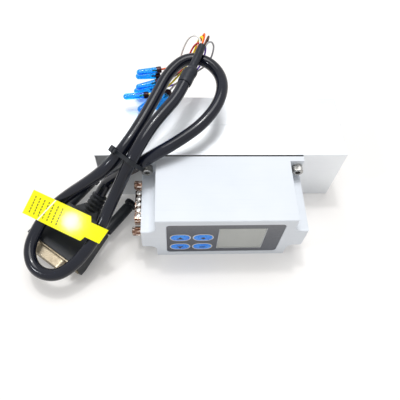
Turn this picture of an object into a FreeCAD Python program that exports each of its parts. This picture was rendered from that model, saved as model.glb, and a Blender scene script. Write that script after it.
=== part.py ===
import FreeCAD, Part
import Sketcher
import math
import os

from FreeCAD import Placement, Rotation, Vector

# Thermal gas mass flow meter: a flow block with a port in each end, a housing with a
# display screwed to its front, and the meter's lead, taken off and laid over it.
# X runs along the bore, +Y from the display to the back, Z up. The origin is the middle
# of the meter's underside.

DIMENSIONS = [
    ("body_height", 48.0, "block and housing, underside to top"),
    ("block_length", 160.0, "block, port face to port face"),
    ("block_depth", 48.0, "block, front to back"),
    ("bore_diameter", 20.0, "flow bore"),
    ("port_diameter", 24.12, "port, minor diameter of its pipe thread"),
    ("port_depth", 17.0, "port, from the end face"),
    ("port_chamfer", 1.3, "lead-in of the port"),
    ("conditioner_diameter", 22.0, "seat of the flow straighteners"),
    ("conditioner_depth", 13.0, "seat of the flow straighteners, inwards from the port"),
    ("straightener_length", 8.0, "honeycomb disc"),
    ("straightener_cell", 1.3, "honeycomb cell radius"),
    ("straightener_pitch", 3.2, "honeycomb cell spacing"),
    ("screen_thickness", 0.5, "wire screen disc"),
    ("screen_cell", 1.0, "open cell of a screen, side"),
    ("screen_pitch", 1.9, "spacing of the screen's cells"),
    ("ring_thickness", 1.2, "retaining ring"),
    ("ring_inset", 0.8, "land between the port and the ring's groove"),
    ("ring_bite", 0.8, "retaining ring, reach into its groove"),
    ("ring_width", 2.0, "retaining ring, radial width"),
    ("fit_gap", 0.05, "gap between parts that slide into each other"),
    ("edge_chamfer", 0.4, "broken edges of block and housing"),
    ("mount_hole_diameter", 5.0, "threaded mounting holes in the back"),
    ("mount_hole_depth", 9.0, "depth of the mounting holes"),
    ("mount_spacing_x", 130.0, "mounting holes, along the bore"),
    ("mount_spacing_z", 32.0, "mounting holes, across the bore"),
    ("arrow_length", 47.4, "flow arrow engraved on the top"),
    ("arrow_line", 0.5, "width of the arrow's line"),
    ("arrow_head", 3.6, "length of the arrow's head"),
    ("arrow_depth", 0.25, "depth of the engraving"),
    ("head_width", 102.0, "housing, over both side ears"),
    ("ear_width", 9.0, "side ear, out from the main wall"),
    ("ear_height", 20.0, "side ear, along Z"),
    ("cove_radius", 5.0, "hollow corner between ear and main wall"),
    ("housing_depth", 42.0, "housing, front face to flange"),
    ("flange_thickness", 3.5, "rear flange of the housing"),
    ("gasket_thickness", 1.0, "gasket between flange and block"),
    ("housing_wall", 2.5, "main walls of the housing"),
    ("front_wall", 2.5, "front wall of the housing"),
    ("ear_wall", 2.0, "top and bottom walls of an ear"),
    ("connector_wall", 1.5, "side wall that holds the connector"),
    ("overlay_width", 71.0, "front film"),
    ("overlay_height", 37.6, "front film"),
    ("overlay_thickness", 0.4, "front film"),
    ("overlay_radius", 2.5, "front film, corner radius"),
    ("recess_depth", 0.6, "recess for the front film"),
    ("recess_gap", 0.25, "gap round the front film"),
    ("window_width", 29.4, "clear window of the display"),
    ("window_height", 28.8, "clear window of the display"),
    ("window_x", 10.7, "window centre, from the middle"),
    ("window_z", -0.7, "window centre, from mid height"),
    ("key_length", 13.0, "oval key"),
    ("key_height", 8.8, "oval key"),
    ("key_raise", 0.2, "embossing of a key"),
    ("key_x", -20.15, "middle of the four keys"),
    ("key_z", -4.6, "middle of the four keys, from mid height"),
    ("key_pitch_x", 14.1, "key spacing"),
    ("key_pitch_z", 13.0, "key spacing"),
    ("key_hole_diameter", 5.0, "hole behind a key"),
    ("plunger_diameter", 3.5, "plunger of a key switch"),
    ("board_thickness", 1.6, "circuit boards"),
    ("display_board_setback", 6.0, "display board, behind the front wall"),
    ("display_board_side_gap", 1.0, "display board, to each side wall of the housing"),
    ("display_board_top_gap", 2.0, "display board, to the top and bottom walls"),
    ("boss_diameter", 6.0, "screw boss behind the front wall"),
    ("boss_inset", 3.5, "screw boss, from the board's edges"),
    ("small_screw_diameter", 2.5, "board screw"),
    ("small_head_diameter", 4.6, "board screw head"),
    ("small_head_height", 1.8, "board screw head"),
    ("small_screw_length", 6.0, "board screw, under the head"),
    ("main_board_drop", 8.6, "main board's underside, below mid height"),
    ("main_board_left", 39.0, "main board, left edge from the middle"),
    ("main_board_right", 37.0, "main board, right edge from the middle"),
    ("main_board_depth", 27.0, "main board, front to back"),
    ("main_board_gap", 2.0, "main board, behind the display board"),
    ("connector_setback", 22.75, "connector centre, behind the front face"),
    ("connector_pitch", 33.32, "connector screws, centre to centre"),
    ("connector_flange_width", 39.2, "connector flange"),
    ("connector_flange_height", 12.5, "connector flange"),
    ("connector_flange", 0.8, "connector flange thickness"),
    ("shell_width", 25.0, "meter's connector shell, outside"),
    ("shell_height", 8.4, "meter's connector shell, outside"),
    ("shell_length", 5.9, "connector shell, out from its flange"),
    ("shell_wall", 0.45, "connector shell wall"),
    ("shell_radius", 2.4, "connector shell corners"),
    ("shell_gap", 0.3, "gap round the shell in the side wall"),
    ("pin_diameter", 1.0, "connector contact"),
    ("pin_pitch", 2.76, "contact spacing in a row"),
    ("pin_row", 2.84, "spacing of the two rows"),
    ("insulator_depth", 6.0, "contact carrier, behind the connector's flange"),
    ("jack_across", 5.0, "hexagonal jack screw, across flats"),
    ("jack_length", 5.8, "hexagonal jack screw, outside the wall"),
    ("jack_thread", 2.8, "jack screw and thumbscrew thread"),
    ("jack_nut_across", 5.5, "nut of the jack screw"),
    ("jack_nut_height", 2.4, "nut of the jack screw"),
    ("flange_screw_x", 47.5, "housing screws, from the middle"),
    ("flange_screw_z", 17.75, "housing screws, from mid height"),
    ("screw_diameter", 4.0, "housing screw"),
    ("screw_clearance", 4.5, "clearance hole of a housing screw"),
    ("screw_head_diameter", 7.0, "housing screw head"),
    ("screw_head_height", 4.0, "housing screw head"),
    ("screw_socket", 3.0, "housing screw socket, across flats"),
    ("screw_reach", 9.0, "housing screw, depth in the block"),
    ("washer_thickness", 0.9, "spring washer"),
    ("sensor_bore", 13.0, "well of the sensor in the block's front"),
    ("sensor_plate_width", 30.0, "sensor carrier plate"),
    ("sensor_plate_height", 26.0, "sensor carrier plate"),
    ("sensor_plate", 3.0, "sensor carrier plate thickness"),
    ("sensor_dip", 1.5, "sensor tip, into the bore"),
    ("sensor_screw_x", 11.5, "sensor screws, from the middle"),
    ("sensor_screw_z", 9.5, "sensor screws, from mid height"),
    ("seal_thickness", 1.5, "ring seal of the sensor"),
    ("chip_size", 3.0, "thermal sensor chip"),
    ("cable_diameter", 7.5, "lead"),
    ("lead_x", -107.5, "middle of the lead connector's front"),
    ("lead_y", -48.0, "middle of the lead connector's front"),
    ("hood_width", 43.4, "lead connector hood, at its front"),
    ("hood_rear_width", 35.5, "lead connector hood, at its shoulders"),
    ("hood_neck_width", 15.0, "lead connector hood, at its end"),
    ("hood_height", 15.5, "lead connector hood"),
    ("hood_length", 31.0, "hood, front to shoulders"),
    ("hood_neck_length", 7.0, "hood, shoulders to neck"),
    ("hood_round", 2.0, "rounding of the hood's edges"),
    ("relief_length", 16.0, "ribbed strain relief"),
    ("relief_overlap", 4.5, "strain relief, into the hood's neck"),
    ("relief_root", 6.2, "strain relief radius at the hood"),
    ("relief_tip", 4.9, "strain relief radius at the cable"),
    ("relief_groove", 0.9, "depth of the strain relief's grooves"),
    ("thumb_diameter", 7.4, "thumbscrew barrel"),
    ("thumb_length", 27.0, "thumbscrew, barrel and rim"),
    ("thumb_rim_diameter", 9.0, "knurled rim at the thumbscrew's end"),
    ("thumb_rim_length", 3.0, "knurled rim at the thumbscrew's end"),
    ("thumb_flute", 0.45, "flutes of the rim, radius"),
    ("shoulder_gap", 0.6, "gap between a thumbscrew and the hood's neck"),
    ("thumb_reach", 4.0, "thumbscrew thread, in front of the hood"),
    ("socket_width", 24.2, "lead connector shell, outside"),
    ("socket_height", 7.7, "lead connector shell, outside"),
    ("socket_length", 6.0, "lead connector shell, out from its flange"),
    ("sleeve_diameter", 8.8, "large shrink sleeve"),
    ("sleeve_length", 12.5, "large shrink sleeve"),
    ("sleeve_overlap", 7.5, "cable end, into the large sleeve"),
    ("small_sleeve_diameter", 5.2, "small shrink sleeve"),
    ("small_sleeve_length", 18.2, "small shrink sleeve, out of the large one"),
    ("small_sleeve_bore", 4.4, "small shrink sleeve, inside"),
    ("wire_diameter", 1.2, "core of the lead"),
    ("cap_diameter", 4.2, "end cap of a core"),
    ("cap_length", 16.5, "end cap of a core"),
    ("cap_depth", 6.0, "core, into its end cap"),
    ("tie_width", 2.6, "tie round the lead"),
    ("tie_thickness", 0.9, "tie round the lead"),
    ("tie_gap", 0.6, "tie round the lead, off the strands"),
    ("tie_tail", 4.5, "loose end of the tie"),
    ("label_length", 45.0, "flag label"),
    ("label_width", 16.0, "flag label"),
    ("label_tail_length", 11.8, "narrow end of the flag label"),
    ("label_tail_width", 9.5, "narrow end of the flag label"),
    ("label_skew", 2.0, "slant of the flag label's end"),
    ("label_thickness", 0.3, "flag label"),
]

LEAD_ANGLE = 53.0      # the hood's axis in plan, from +X
RELIEF_TILT = 38.0     # the strain relief leans up from the hood
KNOB_FLUTES = 18

# Centre line of the lead, from just outside the strain relief over the meter and round
# both loops to the shrink sleeve.
CABLE_ROUTE = [
    (-69.2, -6.2, 31.0), (-62.0, -8.2, 40.5),
    (-54.5, -9.5, 48.5), (-44.3, -7.0, 55.5), (-29.3, 0.3, 59.5), (-13.0, 11.0, 64.0),
    (-2.0, 26.0, 67.5), (0.8, 43.0, 69.0), (-7.5, 57.5, 70.0), (-22.0, 61.0, 70.0),
    (-34.0, 49.0, 68.5), (-42.0, 31.0, 65.5), (-51.0, 12.5, 62.0), (-60.5, -4.0, 59.5),
    (-71.0, -13.5, 52.5), (-83.0, -16.5, 42.0), (-95.5, -19.0, 32.5), (-107.0, -25.0, 26.0),
    (-115.5, -36.5, 22.0), (-120.0, -50.5, 19.0), (-115.5, -63.0, 17.0),
    (-103.0, -68.0, 17.5), (-91.0, -62.0, 20.5), (-82.0, -51.0, 24.0),
    (-75.5, -40.0, 28.5), (-69.5, -29.0, 36.0), (-63.0, -20.5, 47.0),
    (-57.0, -14.5, 58.5), (-50.5, -4.5, 64.5), (-43.5, 6.5, 68.0), (-36.0, 16.2, 69.9),
    (-27.9, 26.6, 71.4), (-21.3, 42.1, 74.0),
]

# Each core of the lead, in the order of their places in the sleeve, where six lie round the
# last: its colour, the points of its fold outside the sleeve and on its way back under the
# loop, and the open end of its cap and a point towards the cap's tip.
CORES = [
    ("orange", [(-10.4, 71.0, 81.2), (-11.4, 73.8, 77.0), (-15.0, 71.5, 67.0),
                (-23.0, 66.1, 61.8)], (-38.8, 59.7, 60.5), (-55.0, 56.4, 60.5)),
    ("white", [(-15.8, 69.0, 81.4), (-20.8, 70.2, 78.6), (-24.8, 69.2, 68.5),
               (-27.0, 66.5, 58.0), (-31.0, 56.8, 51.6)], (-42.5, 44.3, 51.5),
     (-53.6, 32.2, 50.9)),
    ("red", [(-14.6, 67.0, 77.2), (-17.8, 68.4, 72.4), (-20.8, 66.6, 64.8),
             (-25.5, 62.0, 56.5)], (-39.5, 59.0, 55.5), (-56.0, 58.3, 55.5)),
    ("purple", [(-10.2, 67.4, 75.6), (-9.4, 67.0, 70.6), (-11.6, 63.0, 62.0),
                (-20.5, 58.0, 55.0)], (-40.7, 49.7, 53.1), (-57.1, 47.6, 52.4)),
    ("grey", [(-6.6, 67.2, 78.6), (-3.8, 67.0, 73.6), (-7.0, 62.4, 63.6),
              (-18.0, 56.0, 60.0)], (-33.7, 44.9, 56.1), (-41.7, 30.6, 53.7)),
    ("brown", [(-8.0, 70.0, 80.4), (-7.6, 72.4, 75.6), (-11.5, 69.4, 65.5),
               (-21.5, 62.5, 58.2)], (-39.6, 51.0, 58.6), (-55.2, 45.9, 57.5)),
    ("yellow", [(-12.0, 71.2, 79.6), (-14.6, 72.2, 74.0), (-17.8, 68.4, 64.5),
                (-25.5, 56.2, 60.4)], (-46.7, 40.0, 57.5), (-63.1, 38.2, 57.5)),
]

TIE_PLACE = (-57.2, -9.4, 54.4)    # middle of the tie
TIE_RUN = (0.58, 0.66, 0.47)       # the strands' common direction there

LABEL_PLACE = (-122.0, -22.0, 29.3)    # middle of the label's free end
LABEL_ALONG = (0.875, -0.480, 0.066)   # its length, towards the narrow end
LABEL_ACROSS = (0.400, 0.800, 0.440)   # its width, up the strands

document = FreeCAD.newDocument("FlowMeter")
sheet = document.addObject("Spreadsheet::Sheet", "Sizes")
for row, (alias, amount, note) in enumerate(DIMENSIONS, 1):
    sheet.set(f"A{row}", note)
    sheet.set(f"B{row}", str(amount))
    sheet.setAlias(f"B{row}", alias)
document.recompute()


class Length:
    """A length: its value now, and the sheet formula that it is bound to."""

    def __init__(self, value, formula):
        self.value = value
        self.formula = formula

    def __add__(self, other):
        other = as_length(other)
        return Length(self.value + other.value, f"({self.formula} + {other.formula})")

    def __radd__(self, other):
        return as_length(other) + self

    def __sub__(self, other):
        other = as_length(other)
        return Length(self.value - other.value, f"({self.formula} - {other.formula})")

    def __rsub__(self, other):
        return as_length(other) - self

    def __mul__(self, other):
        other = as_length(other)
        return Length(self.value * other.value, f"({self.formula} * {other.formula})")

    def __rmul__(self, other):
        return as_length(other) * self

    def __truediv__(self, other):
        other = as_length(other)
        return Length(self.value / other.value, f"({self.formula} / {other.formula})")

    def __neg__(self):
        return as_length(0) - self


def as_length(amount):
    if isinstance(amount, Length):
        return amount
    return Length(float(amount), f"({float(amount)})")


class Sizes:
    """The sheet's lengths, by name."""

    def __getattr__(self, alias):
        return Length(float(getattr(sheet, alias)), f"Sizes.{alias}")


size = Sizes()
nodes = []

# Shared places, worked out from the sheet.
total_depth = (size.housing_depth + size.flange_thickness + size.gasket_thickness
               + size.block_depth)
front_y = total_depth / -2
flange_y = front_y + size.housing_depth
gasket_y = flange_y + size.flange_thickness
block_y = gasket_y + size.gasket_thickness
back_y = total_depth / 2
bore_y = block_y + size.block_depth / 2
mid_z = size.body_height / 2
half_head = size.head_width / 2
half_main = half_head - size.ear_width
ear_low = mid_z - size.ear_height / 2
ear_high = mid_z + size.ear_height / 2
inner_front_y = front_y + size.front_wall
connector_y = front_y + size.connector_setback
connector_face_x = size.connector_wall - half_head
display_board_y = inner_front_y + size.display_board_setback
half_board_width = half_main - size.housing_wall - size.display_board_side_gap
half_board_height = mid_z - size.housing_wall - size.display_board_top_gap
main_board_y = display_board_y + size.board_thickness + size.main_board_gap
main_board_z = mid_z - size.main_board_drop
main_top_z = main_board_z + size.board_thickness

TURNS = {
    "x": Rotation(Vector(0, 1, 0), 90),
    "-x": Rotation(Vector(0, 1, 0), -90),
    "y": Rotation(Vector(1, 0, 0), -90),
    "-y": Rotation(Vector(1, 0, 0), 90),
    "z": Rotation(),
}


def bind(thing, name, length):
    """Sets a property to a length and binds it to the sheet."""
    thing.setExpression(name, as_length(length).formula)


def place(thing, x, y, z, turn="z"):
    """Puts a thing at a point, with its own Z turned to an axis."""
    thing.Placement = Placement(Vector(as_length(x).value, as_length(y).value,
                                       as_length(z).value), TURNS[turn])
    bind(thing, "Placement.Base.x", x)
    bind(thing, "Placement.Base.y", y)
    bind(thing, "Placement.Base.z", z)
    return thing


def keep(thing, label):
    """Names a thing as a finished sub-part."""
    thing.Label = label
    nodes.append(thing)
    return thing


def box(low, high):
    """A box between two corners, given as lengths."""
    thing = document.addObject("Part::Box", "Block")
    for name, first, last in zip(("Length", "Width", "Height"), low, high):
        bind(thing, name, as_length(last) - first)
    return place(thing, *low)


def rod(radius, length, x, y, z, turn="z"):
    """A cylinder that starts at a point and runs along an axis."""
    thing = document.addObject("Part::Cylinder", "Rod")
    bind(thing, "Radius", radius)
    bind(thing, "Height", length)
    return place(thing, x, y, z, turn)


def hexagon(across, length, x, y, z, turn="z"):
    """A six-sided prism, given across its flats."""
    thing = document.addObject("Part::Prism", "Hexagon")
    thing.Polygon = 6
    bind(thing, "Circumradius", as_length(across) / math.sqrt(3))
    bind(thing, "Height", length)
    return place(thing, x, y, z, turn)


def group(things):
    """Separate solids that share one sub-part."""
    thing = document.addObject("Part::Compound", "Group")
    thing.Links = things
    return thing


def fuse(things):
    thing = document.addObject("Part::MultiFuse", "Fusion")
    thing.Shapes = things
    return thing


def cut(base, tools):
    thing = document.addObject("Part::Cut", "Cut")
    thing.Base = base
    thing.Tool = tools[0] if len(tools) == 1 else group(tools)
    return thing


def ring(outer, inner, length, x, y, z, turn="z"):
    """A tube, given by its two radii, that starts at a point."""
    outside = rod(outer, length, x, y, z, turn)
    return cut(outside, [rod(inner, length, x, y, z, turn)])


def new_body(name):
    return document.addObject("PartDesign::Body", name)


def new_sketch(body, name, role, offset):
    """A sketch on one of the body's own planes, moved along the plane's normal."""
    sketch = body.newObject("Sketcher::SketchObject", name)
    planes = [item for item in body.Origin.OriginFeatures if item.Role == role]
    sketch.AttachmentSupport = [(planes[0], "")]
    sketch.MapMode = "FlatFace"
    bind(sketch, "AttachmentOffset.Base.z", offset)
    return sketch


def fix_point(sketch, item, position, x, y):
    """Ties a sketch point to the sheet, from the sketch's own origin."""
    for direction, amount, axis in (("X", as_length(x), -2), ("Y", as_length(y), -1)):
        if amount.value == 0:
            sketch.addConstraint(Sketcher.Constraint("PointOnObject", item, position, axis))
            continue
        number = sketch.addConstraint(Sketcher.Constraint(
            f"Distance{direction}", -1, 1, item, position, amount.value))
        sketch.setExpression(f"Constraints[{number}]", amount.formula)


def polygon(sketch, corners):
    """A closed outline through corners that are all tied to the sheet."""
    first = sketch.GeometryCount
    count = len(corners)
    points = [Vector(as_length(x).value, as_length(y).value, 0) for x, y in corners]
    for index in range(count):
        sketch.addGeometry(Part.LineSegment(points[index], points[(index + 1) % count]))
    for index in range(count):
        following = first + (index + 1) % count
        sketch.addConstraint(Sketcher.Constraint("Coincident", first + index, 2, following, 1))
    for index, (x, y) in enumerate(corners):
        fix_point(sketch, first + index, 1, x, y)


def circle(sketch, x, y, radius):
    """A circle whose centre and radius are tied to the sheet."""
    x, y, radius = as_length(x), as_length(y), as_length(radius)
    item = sketch.addGeometry(Part.Circle(Vector(x.value, y.value, 0), Vector(0, 0, 1),
                                          radius.value))
    fix_point(sketch, item, 3, x, y)
    number = sketch.addConstraint(Sketcher.Constraint("Radius", item, radius.value))
    sketch.setExpression(f"Constraints[{number}]", radius.formula)


def rectangle(sketch, x_low, x_high, y_low, y_high):
    polygon(sketch, [(x_low, y_low), (x_high, y_low), (x_high, y_high), (x_low, y_high)])


def pad(body, sketch, length, reverse=False):
    """Grows the sketch along its normal, or against it."""
    feature = body.newObject("PartDesign::Pad", "Pad")
    feature.Profile = sketch
    bind(feature, "Length", length)
    feature.Reversed = reverse
    document.recompute()
    return feature


def pocket(body, sketch, length, reverse=False):
    """Cuts the sketch against its normal, or along it, and checks that it cut."""
    before = body.Shape.Volume
    feature = body.newObject("PartDesign::Pocket", "Pocket")
    feature.Profile = sketch
    bind(feature, "Length", length)
    feature.Reversed = reverse
    document.recompute()
    if body.Shape.Volume >= before:
        raise RuntimeError(f"{body.Label}: the cut of {sketch.Label} points away")
    return feature


def chosen_edges(body, wanted):
    """Names of the body's edges whose ends and middle pass a test."""
    names = []
    for index, edge in enumerate(body.Shape.Edges, 1):
        ends = [vertex.Point for vertex in edge.Vertexes]
        if len(ends) == 2 and wanted(ends[0], ends[1]):
            names.append(f"Edge{index}")
    return names


def dress(body, kind, names, name, amount):
    """A fillet or a chamfer on edges of the body's last feature."""
    base = body.Tip
    feature = body.newObject(f"PartDesign::{kind}", kind)
    feature.Base = (base, names)
    bind(feature, name, amount)
    document.recompute()
    return feature


def near(first, second):
    return abs(first - as_length(second).value) < 0.01


def along(axis, first, last):
    """True if an edge from first to last runs along one axis."""
    others = [name for name in "xyz" if name != axis]
    return all(abs(getattr(first, name) - getattr(last, name)) < 0.01 for name in others)


def socket_screw(thread, reach, head, head_height, across, x, y, z, turn):
    """A cap screw: its seat under the head is at the point, its thread runs along turn."""
    back = {"x": (-1, 0, 0), "y": (0, -1, 0), "z": (0, 0, -1), "-y": (0, 1, 0)}[turn]
    top = [as_length(base) + head_height * sign if sign else base
           for base, sign in zip((x, y, z), back)]
    cap = rod(head / 2, head_height, *top, turn)
    shank = rod(thread / 2, reach, x, y, z, turn)
    key = hexagon(across, head_height / 2, *top, turn)
    return cut(fuse([cap, shank]), [key])


def head_outline(margin_side, margin_left, margin_right, margin_ear, margin_top):
    """The housing's cross shape, drawn in by a margin on each kind of wall."""
    side = half_main - margin_side
    left = margin_left - half_head
    right = half_head - margin_right
    low, high = ear_low + margin_ear, ear_high - margin_ear
    base, top = as_length(margin_top), size.body_height - margin_top
    return [(-side, base), (side, base), (side, low), (right, low), (right, high),
            (side, high), (side, top), (-side, top), (-side, high), (left, high),
            (left, low), (-side, low)]


def d_outline(width, height, y, z):
    """Outline of a D connector, in Y and Z: wide side up, sides leaning by 10 degrees."""
    lean = as_length(height) * math.tan(math.radians(10))
    top, base = z + as_length(height) / 2, z - as_length(height) / 2
    half = as_length(width) / 2
    return [(y - half + lean, base), (y + half - lean, base), (y + half, top),
            (y - half, top)]


def d_block(name, width, height, radius, x, length, y, z):
    """A solid of that outline along +X, with its long edges rounded."""
    body = new_body(name)
    sketch = new_sketch(body, name + "Outline", "YZ_Plane", x)
    polygon(sketch, d_outline(width, height, y, z))
    pad(body, sketch, length)
    dress(body, "Fillet", chosen_edges(body, lambda a, b: along("x", a, b)), "Radius", radius)
    return body


def flow_block():
    """The block: bore, ports, seats, sensor well, threaded holes and flow arrow."""
    half = size.block_length / 2
    body = new_body("flow_block")
    sketch = new_sketch(body, "BlockSection", "YZ_Plane", -half)
    rectangle(sketch, block_y, back_y, 0, size.body_height)
    pad(body, sketch, size.block_length)
    everything = chosen_edges(body, lambda a, b: True)
    dress(body, "Chamfer", everything, "Size", size.edge_chamfer)

    sketch = new_sketch(body, "BoreSection", "YZ_Plane", half)
    circle(sketch, bore_y, mid_z, size.bore_diameter / 2)
    pocket(body, sketch, size.block_length)
    steps = [("Conditioner", size.conditioner_diameter, size.port_depth + size.conditioner_depth),
             ("Port", size.port_diameter, size.port_depth)]
    for side, end, reverse in (("Right", half, False), ("Left", -half, True)):
        for step, diameter, depth in steps:
            sketch = new_sketch(body, side + step, "YZ_Plane", end)
            circle(sketch, bore_y, mid_z, diameter / 2)
            pocket(body, sketch, depth, reverse)
        groove_x = half - size.port_depth - size.ring_inset
        sketch = new_sketch(body, side + "Groove", "YZ_Plane",
                            groove_x if side == "Right" else -groove_x)
        circle(sketch, bore_y, mid_z, size.conditioner_diameter / 2 + size.ring_bite)
        pocket(body, sketch, size.ring_thickness, reverse)
    mouths = []
    for index, edge in enumerate(body.Shape.Edges, 1):
        box_of = edge.BoundBox
        at_end = near(abs(box_of.XMin), half) and box_of.XLength < 0.01
        if at_end and near(box_of.YLength, size.port_diameter):
            mouths.append(f"Edge{index}")
    dress(body, "Chamfer", mouths, "Size", size.port_chamfer)

    sketch = new_sketch(body, "SensorWell", "XZ_Plane", -block_y)
    circle(sketch, 0, mid_z, size.sensor_bore / 2)
    pocket(body, sketch, size.block_depth / 2)
    sketch = new_sketch(body, "HousingThreads", "XZ_Plane", -block_y)
    for x, z in corners_of(size.flange_screw_x, size.flange_screw_z):
        circle(sketch, x, mid_z + z, size.screw_diameter / 2)
    pocket(body, sketch, size.screw_reach + 1)
    sketch = new_sketch(body, "SensorThreads", "XZ_Plane", -block_y)
    for x, z in corners_of(size.sensor_screw_x, size.sensor_screw_z):
        circle(sketch, x, mid_z + z, size.small_screw_diameter / 2)
    pocket(body, sketch, size.small_screw_length - size.sensor_plate + 1)
    sketch = new_sketch(body, "MountThreads", "XZ_Plane", -back_y)
    for x, z in corners_of(size.mount_spacing_x / 2, size.mount_spacing_z / 2):
        circle(sketch, x, mid_z + z, size.mount_hole_diameter / 2)
    pocket(body, sketch, size.mount_hole_depth, True)

    sketch = new_sketch(body, "FlowArrow", "XY_Plane", size.body_height)
    tip = size.arrow_length / 2
    neck = tip - size.arrow_head
    line, barb = size.arrow_line / 2, size.arrow_head * 0.4
    polygon(sketch, [(-tip, bore_y - line), (neck, bore_y - line), (neck, bore_y - barb),
                     (tip, bore_y), (neck, bore_y + barb), (neck, bore_y + line),
                     (-tip, bore_y + line)])
    pocket(body, sketch, size.arrow_depth)
    keep(body, "flow_block")


def corners_of(x, z):
    """The four corners of a pattern about its middle."""
    return [(sign_x * x, sign_z * z) for sign_z in (-1, 1) for sign_x in (-1, 1)]


def flow_conditioning():
    """Screens, honeycombs and retaining rings behind each port."""
    seat_x = size.block_length / 2 - size.port_depth - size.conditioner_depth
    radius = size.conditioner_diameter / 2 - size.fit_gap
    screens, combs, spacers, rings = [], [], [], []
    for sign in (-1, 1):
        turn = "x" if sign > 0 else "-x"
        comb_x = seat_x + size.screen_thickness
        outer_x = comb_x + size.straightener_length
        for screen_x in (seat_x, outer_x):
            screens.append(screen(sign * screen_x, radius, turn))
        combs.append(honeycomb(sign * comb_x, radius, turn))
        ring_x = size.block_length / 2 - size.port_depth - size.ring_inset
        start = ring_x - size.ring_thickness
        washer = ring(size.conditioner_diameter / 2 + size.ring_bite - size.fit_gap,
                      size.conditioner_diameter / 2 - size.ring_width,
                      size.ring_thickness - 2 * size.fit_gap,
                      sign * (start + size.fit_gap), bore_y, mid_z, turn)
        gap_low = (sign * (start - 1), bore_y - 2, mid_z + size.bore_diameter / 2 - 2)
        gap_high = (sign * (start + size.ring_thickness + 1), bore_y + 2, mid_z + size.bore_diameter)
        if sign < 0:
            gap_low, gap_high = ((gap_high[0],) + gap_low[1:], (gap_low[0],) + gap_high[1:])
        rings.append(cut(washer, [box(gap_low, gap_high)]))
        spacer_start = outer_x + size.screen_thickness
        spacers.append(ring(radius, size.bore_diameter / 2, start - spacer_start,
                            sign * spacer_start, bore_y, mid_z, turn))
    keep(group(screens), "flow_screens")
    keep(group(combs), "flow_straighteners")
    keep(group(spacers), "spacer_rings")
    keep(group(rings), "retaining_rings")


def screen(x, radius, turn):
    """A disc with square cells."""
    disc = rod(radius, size.screen_thickness, x, bore_y, mid_z, turn)
    reach = size.screen_pitch.value
    limit = radius.value - 1.2
    holes = []
    steps = range(-5, 6)
    for column in steps:
        for line in steps:
            if math.hypot(column, line) * reach + size.screen_cell.value * 0.7 > limit:
                continue
            start = x if turn == "x" else x - size.screen_thickness
            y = bore_y + column * size.screen_pitch
            z = mid_z + line * size.screen_pitch
            half = size.screen_cell / 2
            holes.append(box((start, y - half, z - half),
                             (start + size.screen_thickness, y + half, z + half)))
    return cut(disc, holes)


def honeycomb(x, radius, turn):
    """A disc with round cells in rows, each row half a cell across from the last."""
    disc = rod(radius, size.straightener_length, x, bore_y, mid_z, turn)
    pitch = size.straightener_pitch
    limit = radius.value - size.straightener_cell.value - 0.3
    holes = []
    for line in range(-4, 5):
        for column in range(-4, 5):
            shift = column + (line % 2) / 2
            rise = line * math.sqrt(3) / 2
            if math.hypot(shift, rise) * pitch.value > limit:
                continue
            holes.append(rod(size.straightener_cell, size.straightener_length, x,
                             bore_y + shift * pitch, mid_z + rise * pitch, turn))
    return cut(disc, holes)


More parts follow.
